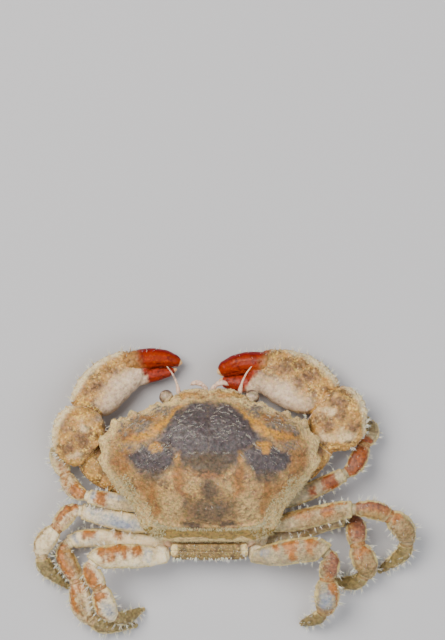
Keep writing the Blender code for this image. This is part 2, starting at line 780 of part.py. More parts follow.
add_shell()
add_chest()
add_tail()
add_mouthparts()
add_head()
for leg_name, leg_spec in LEGS.items():
    add_leg(leg_name, *leg_spec)
for claw_name, claw_spec in CLAWS.items():
    add_claw(claw_name, claw_spec)
add_bristles()
centre_on_origin()
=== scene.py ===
import math
import random

import bmesh
import bpy
import numpy as np
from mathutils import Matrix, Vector, noise
from mathutils.bvhtree import BVHTree


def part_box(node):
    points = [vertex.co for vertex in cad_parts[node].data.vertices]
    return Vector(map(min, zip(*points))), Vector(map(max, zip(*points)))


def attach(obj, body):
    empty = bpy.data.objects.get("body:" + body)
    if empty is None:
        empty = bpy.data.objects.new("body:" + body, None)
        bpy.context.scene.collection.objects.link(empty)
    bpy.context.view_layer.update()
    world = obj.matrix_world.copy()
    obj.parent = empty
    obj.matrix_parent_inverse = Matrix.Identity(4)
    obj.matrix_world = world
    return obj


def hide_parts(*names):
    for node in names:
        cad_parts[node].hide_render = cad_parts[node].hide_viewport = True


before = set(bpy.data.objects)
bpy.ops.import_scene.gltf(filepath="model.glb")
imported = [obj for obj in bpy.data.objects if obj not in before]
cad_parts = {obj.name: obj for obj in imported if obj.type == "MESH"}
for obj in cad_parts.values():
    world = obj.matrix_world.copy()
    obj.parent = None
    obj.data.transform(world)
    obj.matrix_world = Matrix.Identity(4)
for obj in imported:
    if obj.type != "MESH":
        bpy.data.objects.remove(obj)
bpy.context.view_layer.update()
print("frame loaded:", len(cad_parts), "nodes")

# Every size below is in the drawing's millimetres: X to the crab's right, Y to its front.
mm = 0.001
shellLow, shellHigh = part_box("carapace")
frontOfShell = 10.36  # the tip of the front in the drawing
shift = np.array([(shellLow[0] + shellHigh[0]) / 2.0, shellHigh[1] - frontOfShell * mm, 0.0])
seed = 29
dice = random.Random(seed)  # every hair is drawn from this one row of throws
noise.seed_set(seed)  # without it the noise in wander() follows the clock
up = np.array([0.0, 0.0, 1.0])


def vec(*values):
    return np.array(values, dtype=float)


def unit(vector):
    return vector / np.linalg.norm(vector)


def mix(first, second, share):
    return first + (second - first) * share


def smoothStep(low, high, value):
    share = np.clip((value - low) / (high - low), 0.0, 1.0)
    return share * share * (3.0 - 2.0 * share)


def smoothPick(values, share):
    # the value at a share of the way along a list, easing from one entry to the next
    place = min(max(share, 0.0), 1.0) * (len(values) - 1)
    index = min(int(place), len(values) - 2)
    return mix(values[index], values[index + 1], float(smoothStep(0.0, 1.0, place - index)))


def bell(value, middle, half):
    # 1 at the middle, falling to either side, for grooves, seams, ridges and lips
    return np.exp(-((value - middle) / half) ** 2)


def signedPower(value, power):
    return np.sign(value) * np.abs(value) ** power


def linearColour(hexText):
    # an sRGB hex value as linear light, opaque
    channels = [int(hexText[i:i + 2], 16) / 255.0 for i in (1, 3, 5)]
    return tuple(c / 12.92 if c <= 0.04045 else ((c + 0.055) / 1.055) ** 2.4 for c in channels) + (1.0,)


def roughness(points, size, octaves=2, seed=0.0):
    # soft lumps between -1 and 1, of about that size in millimetres
    offset = Vector((seed, seed * 1.7, -seed))
    return np.array([noise.fractal(Vector(p) / size + offset, 0.9, 2.0, octaves) for p in points])


def pebbles(points, size, seed=0.0):
    # 1 at the middle of each granule and 0 in the furrows between them
    offset = Vector((seed, -seed, seed * 0.6))
    near = [noise.voronoi(Vector(p) / size + offset)[0] for p in points]
    return np.array([max(0.0, min(1.0, (d[1] - d[0]) * 1.6)) for d in near])


def wander(points, reach=0.3, size=1.3, seed=4.0):
    # each place moved a little by smooth noise, so that no patch keeps a drawn edge
    offset = Vector((seed, -seed, 0.5 * seed))
    coarse = np.array([noise.noise_vector(Vector(p) / size + offset)[:2] for p in points])
    fine = np.array([noise.noise_vector(Vector(p) / (0.32 * size) - offset)[:2] for p in points])
    return (points[:, :2] + reach * (1.3 * coarse + 0.7 * fine)).T


def distanceToLine(x, y, line):
    # distance from each point to a bent line, and the share of the line's length it is nearest to
    best = np.full(x.shape, 1e9)
    share = np.zeros(x.shape)
    count = len(line) - 1
    for i in range(count):
        ax, ay = line[i][:2]
        bx, by = line[i + 1][:2]
        along = (x - ax) * (bx - ax) + (y - ay) * (by - ay)
        t = np.clip(along / ((bx - ax) ** 2 + (by - ay) ** 2), 0.0, 1.0)
        gap = np.hypot(x - mix(ax, bx, t), y - mix(ay, by, t))
        share = np.where(gap < best, (i + t) / count, share)
        best = np.minimum(best, gap)
    return best, share


def insidePatch(x, y, outline, soft):
    # 1 well inside a closed outline, 0.5 on it and 0 well outside
    gap, _ = distanceToLine(x, y, list(outline) + [outline[0]])
    inside = np.zeros(x.shape, dtype=bool)
    for (ax, ay), (bx, by) in zip(outline, list(outline[1:]) + [outline[0]]):
        crosses = (ay > y) != (by > y)
        level = 1e-12 if by == ay else by - ay
        inside ^= crosses & (x < (bx - ax) * (y - ay) / level + ax)
    return np.clip(0.5 + np.where(inside, gap, -gap) / (2.0 * soft), 0.0, 1.0)


def spots(x, y, places):
    # round or oval patches: middle, half sizes and strength
    field = np.zeros(x.shape)
    for cx, cy, halfX, halfY, strength in places:
        reach = np.sqrt(((x - cx) / halfX) ** 2 + ((y - cy) / halfY) ** 2)
        field = np.maximum(field, strength * np.clip(1.5 - reach, 0.0, 1.0))
    return field


def place(points):
    return np.asarray(points, dtype=float) * mm + shift


def unplace(mesh):
    # a finished mesh's points, back in the drawing's millimetres
    points = np.empty(len(mesh.vertices) * 3)
    mesh.vertices.foreach_get("co", points)
    return (points.reshape(-1, 3) - shift) / mm


def normalsOf(mesh):
    normals = np.empty(len(mesh.vertices) * 3)
    mesh.vertex_normals.foreach_get("vector", normals)
    return normals.reshape(-1, 3)


def moveOut(mesh, amount):
    # pushes each point along its normal by an amount in millimetres
    points = place(unplace(mesh) + normalsOf(mesh) * amount[:, None])
    mesh.vertices.foreach_set("co", points.ravel())
    mesh.update()


def setField(mesh, name, values):
    values = np.asarray(values, dtype=float)
    if values.ndim == 2:
        mesh.attributes.new(name, "FLOAT_VECTOR", "POINT").data.foreach_set("vector", values.ravel())
    else:
        mesh.attributes.new(name, "FLOAT", "POINT").data.foreach_set("value", values)


def ringMesh(name, rings):
    # a closed skin over rings of points, with a pole in the middle of each end
    count, sides = rings.shape[:2]
    points = np.vstack([rings.reshape(-1, 3), rings[:1].mean(axis=1), rings[-1:].mean(axis=1)])
    faces = []
    for i in range(count - 1):
        for k in range(sides):
            j = (k + 1) % sides
            faces.append((i * sides + k, i * sides + j, (i + 1) * sides + j, (i + 1) * sides + k))
    first, last = count * sides, count * sides + 1
    for k in range(sides):
        j = (k + 1) % sides
        faces.append((first, j, k))
        faces.append((last, (count - 1) * sides + k, (count - 1) * sides + j))
    mesh = bpy.data.meshes.new(name)
    mesh.from_pydata(place(points).tolist(), [], faces)
    turnOutward(mesh)
    return mesh


def turnOutward(mesh):
    body = bmesh.new()
    body.from_mesh(mesh)
    bmesh.ops.recalc_face_normals(body, faces=body.faces)
    body.to_mesh(mesh)
    body.free()
    mesh.shade_smooth()


def joinMeshes(name, meshes):
    body = bmesh.new()
    for mesh in meshes:
        body.from_mesh(mesh)
        bpy.data.meshes.remove(mesh)
    joined = bpy.data.meshes.new(name)
    body.to_mesh(joined)
    body.free()
    joined.shade_smooth()
    return joined


def linked(name, mesh):
    piece = bpy.data.objects.new(name, mesh)
    bpy.context.scene.collection.objects.link(piece)
    return piece


def applied(piece):
    # the object's modifiers turned into a plain mesh
    bpy.context.view_layer.update()
    mesh = bpy.data.meshes.new_from_object(piece.evaluated_get(bpy.context.evaluated_depsgraph_get()))
    old = piece.data
    piece.modifiers.clear()
    piece.data = mesh
    mesh.name = piece.name
    bpy.data.meshes.remove(old)
    return mesh


def moulded(name, mesh, grain, passes):
    # runs overlapping closed forms into one skin with soft fillets
    piece = linked(name, mesh)
    remesh = piece.modifiers.new("Skin", "REMESH")
    remesh.mode = "VOXEL"
    remesh.voxel_size = grain * mm
    smooth = piece.modifiers.new("Fillet", "SMOOTH")
    smooth.factor = 0.5
    smooth.iterations = passes
    applied(piece).shade_smooth()
    return piece


def finished(piece, material, replaced=()):
    piece.data.materials.clear()
    piece.data.materials.append(material)
    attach(piece, "root")
    if replaced:
        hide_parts(*replaced)
    return piece


def addNode(tree, kind, settings=None, links=None):
    # settings go to the node's own fields or its sockets, and links feed its sockets
    node = tree.nodes.new(kind)
    for key, value in (settings or {}).items():
        if isinstance(key, int) or key in node.inputs:
            node.inputs[key].default_value = value
        else:
            setattr(node, key, value)
    for key, source in (links or {}).items():
        tree.links.new(source, node.inputs[key])
    return node


def newMaterial(name):
    material = bpy.data.materials.new(name)
    material.use_nodes = True
    material.node_tree.nodes.clear()
    return material, material.node_tree


def perMillimetre(size):
    # a texture's scale for features of about that size in millimetres
    return 1.0 / (size * mm)


crust = {
    "dots": 0.24, "streaks": 0.26, "speckle": 0.34,  # sizes of the finest patterns, mm
    "spread": 2.4,  # how far the speckle reaches from dark to light
    "bumpDepth": 0.12,  # mm
    "flowing": ("streak", "band", "frost"),  # markings torn along the shell's own lines
}


def chitin(name, look):
    # Crab shell: chitin stiffened with lime, grown as a thin crust. It gives the eye a satin skin over
    # blotted pigment, with darker and paler flecks, torn edges between colours and fine granules.
    material, tree = newMaterial(name)
    where = addNode(tree, "ShaderNodeTexCoord").outputs["Object"]
    drift = addNode(tree, "ShaderNodeAttribute", {"attribute_name": "flow"}).outputs["Vector"]
    noises = {}
    for label, source, size, detail, torn in (
        ("blots", where, look["mottle"], 4.0, 0.55), ("wisps", where, look["mottle"] * 0.36, 6.0, 0.68),
        ("dots", where, crust["dots"], 2.0, 0.5), ("flow", drift, crust["streaks"], 3.0, 0.6),
    ):
        noises[label] = addNode(
            tree, "ShaderNodeTexNoise",
            {"Scale": perMillimetre(size), "Detail": detail, "Roughness": torn, "Distortion": 0.3},
            {"Vector": source},
        ).outputs["Fac"]
    grit = addNode(
        tree, "ShaderNodeTexVoronoi",
        {"Scale": perMillimetre(look["grain"]), "Randomness": 0.95}, {"Vector": where},
    ).outputs["Distance"]
    # how much of each tone shows: its noise, where the tone starts and is full in it, and its strength
    shares = {}
    for tone, source, low, high, most in (
        ("shade", "blots", 0.48, 0.62, "contrast"), ("light", "wisps", 0.5, 0.66, "contrast"),
        ("fleck", "dots", 0.6, 0.74, "flecks"), ("pale", "dots", 0.42, 0.28, "pales"),
        ("darker", "wisps", 0.44, 0.62, "contrast"),
    ):
        shares[tone] = addNode(
            tree, "ShaderNodeMapRange",
            {"interpolation_type": "SMOOTHSTEP", "From Min": low, "From Max": high, "To Max": look[most]},
            {"Value": noises[source]},
        ).outputs["Result"]
    feeds = {}
    for tone in ("shade", "light", "fleck", "pale"):
        feeds[0] = shares[tone]
        feeds[6] = addNode(
            tree, "ShaderNodeMix",
            {"data_type": "RGBA", 6: linearColour(look["ground"]), 7: linearColour(look[tone])}, feeds,
        ).outputs[2]
    colour = feeds[6]
    for field, tone, darker, torn, soft in look["markings"]:
        painted = addNode(tree, "ShaderNodeAttribute", {"attribute_name": field}).outputs["Fac"]
        wobble = addNode(
            tree, "ShaderNodeMath", {"operation": "MULTIPLY_ADD", 1: torn, 2: -0.5 * torn},
            {0: noises["flow" if field in crust["flowing"] else "wisps"]},
        ).outputs[0]
        edge = addNode(tree, "ShaderNodeMath", {"operation": "ADD"}, {0: painted, 1: wobble}).outputs[0]
        # the torn edge, which shows only where the field is painted at all
        limits = [
            addNode(
                tree, "ShaderNodeMapRange",
                {"interpolation_type": "SMOOTHSTEP", "From Min": low, "From Max": high}, {"Value": source},
            ).outputs["Result"]
            for source, low, high in ((edge, 0.5 - soft, 0.5 + soft), (painted, 0.02, 0.2))
        ]
        present = addNode(
            tree, "ShaderNodeMath", {"operation": "MINIMUM"}, {0: limits[0], 1: limits[1]}
        ).outputs[0]
        shaded = addNode(
            tree, "ShaderNodeMix", {"data_type": "RGBA", 6: linearColour(tone), 7: linearColour(darker)},
            {0: shares["darker"]},
        ).outputs[2]
        colour = addNode(
            tree, "ShaderNodeMix", {"data_type": "RGBA"}, {0: present, 6: colour, 7: shaded}
        ).outputs[2]
    # every colour varies from granule to granule, in tone and a little in hue
    speckle = addNode(
        tree, "ShaderNodeTexNoise",
        {"Scale": perMillimetre(crust["speckle"]), "Detail": 5.0, "Roughness": 0.7}, {"Vector": where},
    ).outputs
    tint = addNode(
        tree, "ShaderNodeMix", {"data_type": "RGBA", 0: 0.3}, {6: speckle["Fac"], 7: speckle["Color"]}
    ).outputs[2]
    spread = addNode(
        tree, "ShaderNodeVectorMath",
        {"operation": "MULTIPLY_ADD", 1: (crust["spread"],) * 3, 2: (0.5 - 0.5 * crust["spread"],) * 3},
        {0: tint},
    ).outputs[0]
    colour = addNode(
        tree, "ShaderNodeMix",
        {"data_type": "RGBA", "blend_type": "OVERLAY", 0: look["speckle"]}, {6: colour, 7: spread},
    ).outputs[2]
    relief = addNode(
        tree, "ShaderNodeMath", {"operation": "MULTIPLY_ADD", 1: -0.6}, {0: grit, 2: noises["wisps"]}
    ).outputs[0]
    bump = addNode(
        tree, "ShaderNodeBump",
        {"Strength": look["bump"], "Distance": crust["bumpDepth"] * mm}, {"Height": relief},
    ).outputs["Normal"]
    satin = addNode(
        tree, "ShaderNodeMapRange",
        {"To Min": look["roughness"] - 0.1, "To Max": look["roughness"] + 0.12}, {"Value": noises["wisps"]},
    ).outputs["Result"]
    shader = addNode(
        tree, "ShaderNodeBsdfPrincipled",
        {
            "IOR": 1.52, "Specular IOR Level": look["shine"],
            "Subsurface Weight": look["depth"], "Subsurface Scale": 0.0005,
            "Subsurface Radius": (1.0, 0.6, 0.4), "Coat Weight": look["wet"], "Coat Roughness": 0.25,
        },
        {"Base Color": colour, "Roughness": satin, "Normal": bump},
    )
    addNode(tree, "ShaderNodeOutputMaterial", {}, {"Surface": shader.outputs[0]})
    return material


finishes = {
    # each marking: field, colour, colour of its darker blots, how torn its edge is, and how soft
    "shell": {
        "ground": "#9F7B4A", "shade": "#6E543A", "light": "#D9B162", "fleck": "#563F28", "pale": "#D9C284",
        "mottle": 1.4, "contrast": 0.9, "flecks": 0.6, "pales": 0.42, "grain": 0.34, "bump": 0.7,
        "speckle": 0.6, "shine": 0.4, "roughness": 0.5, "depth": 0.08, "wet": 0.06,
        "markings": (
            ("rim", "#F1D494", "#B09264", 1.6, 0.45), ("ember", "#965E25", "#6D4921", 1.2, 0.5),
            ("cream", "#C2A167", "#90734A", 0.9, 0.4), ("dusk", "#504747", "#3F3331", 0.8, 0.32),
            ("umber", "#5D4B36", "#4B3924", 1.1, 0.5), ("streak", "#796C5E", "#5C5043", 1.9, 0.28),
            ("gold", "#C28A30", "#906936", 1.0, 0.42), ("band", "#A0823E", "#7C6331", 0.6, 0.3),
            ("frost", "#877F7A", "#6B6560", 1.9, 0.22), ("belly", "#EBCA9F", "#CBA578", 0.6, 0.4),
        ),
    },
    "chest": {
        "ground": "#EDC79F", "shade": "#C39B77", "light": "#E9D1B0", "fleck": "#A57F5D", "pale": "#EDD3B5",
        "mottle": 1.8, "contrast": 0.6, "flecks": 0.2, "pales": 0.3, "grain": 0.5, "bump": 0.3,
        "speckle": 0.25, "shine": 0.4, "roughness": 0.44, "depth": 0.15, "wet": 0.15,
        "markings": (
            ("tan", "#A57E45", "#7A5C35", 0.6, 0.35), ("peach", "#F6DCA2", "#F0CB92", 0.6, 0.5),
            ("seam", "#F0D987", "#EBC869", 0.3, 0.3),
        ),
    },
    "tail": {
        "ground": "#876C3D", "shade": "#614C2D", "light": "#AB9050", "fleck": "#533D24", "pale": "#E2CB7D",
        "mottle": 1.0, "contrast": 0.9, "flecks": 0.5, "pales": 0.55, "grain": 0.32, "bump": 0.5,
        "speckle": 0.5, "shine": 0.4, "roughness": 0.48, "depth": 0.1, "wet": 0.08,
        "markings": (
            ("seam", "#6C5430", "#533D20", 0.5, 0.3), ("cream", "#EAD193", "#BEA062", 1.0, 0.4),
            ("belly", "#EECA9F", "#D8B183", 0.5, 0.35),
        ),
    },
    "jaws": {
        "ground": "#D2A589", "shade": "#8C6450", "light": "#F0CEAD", "fleck": "#745343", "pale": "#E9D1B0",
        "mottle": 0.9, "contrast": 0.8, "flecks": 0.35, "pales": 0.3, "grain": 0.35, "bump": 0.45,
        "speckle": 0.4, "shine": 0.4, "roughness": 0.44, "depth": 0.12, "wet": 0.15,
        "markings": (
            ("rust", "#745240", "#50362A", 1.2, 0.45), ("amber", "#C48A3C", "#96652C", 0.9, 0.4),
            ("red", "#B84A30", "#96341E", 1.1, 0.45),
        ),
    },
    "clawCrust": {
        "ground": "#B28545", "shade": "#745530", "light": "#F0C463", "fleck": "#5E4128", "pale": "#EBD098",
        "mottle": 1.5, "contrast": 0.95, "flecks": 0.5, "pales": 0.6, "grain": 0.42, "bump": 0.6,
        "speckle": 0.5, "shine": 0.35, "roughness": 0.52, "depth": 0.08, "wet": 0.05,
        "markings": (
            ("ember", "#836042", "#62452E", 1.5, 0.42), ("rim", "#F2E2B6", "#CDB17C", 1.1, 0.4),
            # the pale cream patches of the claws are partly the crust's own pale colour and partly painted
            # highlights
            ("cream", "#E7CB9B", "#B09469", 0.8, 0.35), ("smooth", "#E6CEAE", "#C8AF94", 0.6, 0.5),
            ("belly", "#E9CBAE", "#D1AF93", 0.5, 0.35), ("red", "#9A2B06", "#761B06", 0.6, 0.26),
            ("crimson", "#7E0606", "#640606", 0.6, 0.35), ("groove", "#560606", "#460606", 0.3, 0.25),
            ("tip", "#E8C18D", "#ECAA72", 0.2, 0.2),
        ),
    },
    "fingers": {
        "ground": "#8E2806", "shade": "#6A1606", "light": "#AA4206", "fleck": "#540606", "pale": "#A84C12",
        "mottle": 1.2, "contrast": 0.8, "flecks": 0.25, "pales": 0.2, "grain": 0.45, "bump": 0.25,
        "speckle": 0.3, "shine": 0.14, "roughness": 0.33, "depth": 0.0, "wet": 0.0,
        "markings": (
            ("crimson", "#7A0606", "#600606", 0.8, 0.4), ("groove", "#560606", "#460606", 0.3, 0.25),
            ("base", "#A87A43", "#735333", 0.9, 0.4), ("tip", "#E8C18D", "#ECAA72", 0.2, 0.2),
        ),
    },
    "legs": {
        "ground": "#ECD8AC", "shade": "#C1AD82", "light": "#E7E0C4", "fleck": "#7E6C52", "pale": "#EDDABA",
        "mottle": 1.3, "contrast": 0.85, "flecks": 0.35, "pales": 0.55, "grain": 0.32, "bump": 0.5,
        "speckle": 0.4, "shine": 0.4, "roughness": 0.48, "depth": 0.1, "wet": 0.06,
        "markings": (
            # the first wash is painted shade on the right legs and a darker tone of the skin on the left
            # ones
            ("dunAndShade", "#7C6C48", "#5E5034", 0.5, 0.5), ("tan", "#9E7A42", "#745733", 1.1, 0.4),
            ("blue", "#969DA5", "#7A808D", 1.0, 0.4), ("rust", "#AD6B28", "#804F23", 1.5, 0.42),
            # the deep orange-red after rust is rust darkened on the right foreleg: partly the patch's own
            # deeper colour, partly painted shade
            ("russetAndShade", "#91480F", "#68300B", 1.4, 0.42), ("brick", "#845138", "#623C2A", 1.5, 0.45),
            ("olive", "#867341", "#5E4F2F", 0.9, 0.45), ("rim", "#EBD68C", "#B29860", 0.9, 0.45),
            ("belly", "#E9CCA9", "#CBAC85", 0.5, 0.4),
        ),
    },
    "feelers": {
        "ground": "#EBC6A9", "shade": "#AA8875", "light": "#E7D2C0", "fleck": "#836758", "pale": "#EAD6C0",
        "mottle": 0.5, "contrast": 0.9, "flecks": 0.35, "pales": 0.4, "grain": 0.2, "bump": 0.3,
        "speckle": 0.2, "shine": 0.4, "roughness": 0.4, "depth": 0.2, "wet": 0.2,
        "markings": (),
    },
    "eyes": {
        "ground": "#D9C29C", "shade": "#A78B68", "light": "#EBD9B8", "fleck": "#7A6046", "pale": "#F4E4BE",
        "mottle": 0.35, "contrast": 0.9, "flecks": 0.5, "pales": 0.4, "grain": 0.09, "bump": 0.35,
        "speckle": 0.55, "shine": 0.5, "roughness": 0.3, "depth": 0.2, "wet": 0.3,
        "markings": (
            ("cornea", "#6A5040", "#3E3028", 0.8, 0.45), ("stalk", "#C0A273", "#8C7048", 0.6, 0.35),
        ),
    },
}
skins = {name: chitin(name + "Chitin", look) for name, look in finishes.items()}


setaeLooks = {
    # colour at the root and at the tip, and roughness
    "whiteSetae": ("#CDBF9E", "#F2F0E6", 0.42),
    "yellowSetae": ("#A39470", "#EEDFAE", 0.5),
    "greySetae": ("#8D8175", "#ECE0CB", 0.5),
}


def bristleMaterial(name, root, tip, matt):
    # Setae: hollow hairs of clear chitin, stiff and dry. They scatter light, so they look white
    # with a brown root, and shine a little along their length.
    material, tree = newMaterial(name)
    along = addNode(tree, "ShaderNodeAttribute", {"attribute_name": "along"}).outputs["Fac"]
    where = addNode(tree, "ShaderNodeTexCoord").outputs["Object"]
    dust = addNode(
        tree, "ShaderNodeTexNoise", {"Scale": perMillimetre(0.8), "Detail": 3.0}, {"Vector": where}
    ).outputs["Fac"]
    shifted = addNode(tree, "ShaderNodeMath", {"operation": "ADD", 1: -0.5}, {0: dust}).outputs[0]
    amount = addNode(
        tree, "ShaderNodeMath", {"operation": "ADD", "use_clamp": True}, {0: along, 1: shifted}
    ).outputs[0]
    colour = addNode(
        tree, "ShaderNodeMix",
        {"data_type": "RGBA", 6: linearColour(root), 7: linearColour(tip)}, {0: amount},
    ).outputs[2]
    shader = addNode(
        tree, "ShaderNodeBsdfPrincipled",
        {"Roughness": matt, "IOR": 1.5, "Subsurface Weight": 0.2, "Subsurface Scale": 0.0003},
        {"Base Color": colour},
    )
    addNode(tree, "ShaderNodeOutputMaterial", {}, {"Surface": shader.outputs[0]})
    return material


setae = {name: bristleMaterial(name, *look) for name, look in setaeLooks.items()}
print("materials made:", len(skins) + len(setae))


def makeTube(points, widths, heights, squareness=2.3, ways=(None, None)):
    return {
        "points": [vec(*p) for p in points], "widths": widths, "heights": heights,
        "power": 2.0 / squareness, "ways": ways,
    }


def tubeCentre(tube, share):
    points = tube["points"]
    count = len(points) - 1
    spot = min(max(share, 0.0), 1.0) * count
    index = min(int(spot), count - 1)
    t = spot - index
    here, there = points[index], points[index + 1]
    before = points[index - 1] if index > 0 else here * 2.0 - there
    after = points[index + 2] if index + 2 <= count else there * 2.0 - here
    return 0.5 * (
        2.0 * here + (there - before) * t
        + (2.0 * before - 5.0 * here + 4.0 * there - after) * t ** 2
        + (3.0 * here - before - 3.0 * there + after) * t ** 3
    )


def tubeFrame(tube, share):
    low, high = max(share - 0.01, 0.0), min(share + 0.01, 1.0)
    along = unit(tubeCentre(tube, high) - tubeCentre(tube, low))
    for end, way in zip((0.0, 1.0), tube["ways"]):
        if way is not None:
            # the last stretch turns to the joint's own direction
            along = unit(mix(along, way, float(smoothStep(0.12, 0.0, abs(share - end)))))
    side = unit(np.cross(along, up))
    return tubeCentre(tube, share), side, np.cross(side, along)


def tubePoints(tube, share, angles, grow=1.0, raised=0.0):
    centre, side, above = tubeFrame(tube, share)
    width = 0.5 * grow * smoothPick(tube["widths"], share)
    height = 0.5 * grow * smoothPick(tube["heights"], share)
    across = signedPower(np.cos(angles), tube["power"]) * width
    tall = signedPower(np.sin(angles), tube["power"]) * height
    arm = across[:, None] * side + tall[:, None] * above
    return centre + arm * (1.0 + np.asarray(raised) / np.linalg.norm(arm, axis=1))[:, None]


def tubeLength(tube):
    stops = [tubeCentre(tube, i / 20) for i in range(21)]
    return sum(np.linalg.norm(b - a) for a, b in zip(stops, stops[1:]))


def evenAngles(tube, sides):
    # angles that set the points evenly round a squarish section
    fine = np.linspace(0.0, math.tau, 721)
    x, y = signedPower(np.cos(fine), tube["power"]), signedPower(np.sin(fine), tube["power"])
    path = np.concatenate([[0.0], np.cumsum(np.hypot(np.diff(x), np.diff(y)))])
    return np.interp(np.arange(sides) / sides * path[-1], path, fine)


def tubeSkin(name, tube, sides, stations, endReach=(0.25, 0.25), detail=None, tipClose=0.0):
    # a closed limb with rounded ends, and shares and angles kept for its markings
    length = tubeLength(tube)
    angles = evenAngles(tube, sides)
    shares = list(np.linspace(0.0, 1.0, stations + 1))
    for end, reach in zip((0.0, 1.0), endReach):
        shares += [abs(end - reach / length * step) for step in (0.08, 0.25, 0.5, 0.75)]
    shares = sorted(set(round(float(s), 5) for s in shares))
    rings, shareField, angleField = [], [], []
    for share in shares:
        grow = 1.0
        for end, reach in zip((0.0, 1.0), endReach):
            near = abs(share - end) * length / reach
            if near < 1.0:
                grow *= 1.0 - 0.4 * (1.0 - math.sqrt(1.0 - (1.0 - near) ** 2))
        if tipClose and share > 1.0 - tipClose:
            grow *= math.sqrt(max(0.004, 1.0 - ((share - 1.0 + tipClose) / tipClose) ** 2))
        raised = detail(share, angles) if detail else 0.0
        rings.append(tubePoints(tube, share, angles, grow, raised))
        shareField.append(np.full(sides, share))
        angleField.append(angles)
    mesh = ringMesh(name, np.array(rings))
    shareField = np.append(np.concatenate(shareField), [0.0, 1.0])
    angleField = np.append(np.concatenate(angleField), [0.0, 0.0])
    return mesh, shareField, angleField


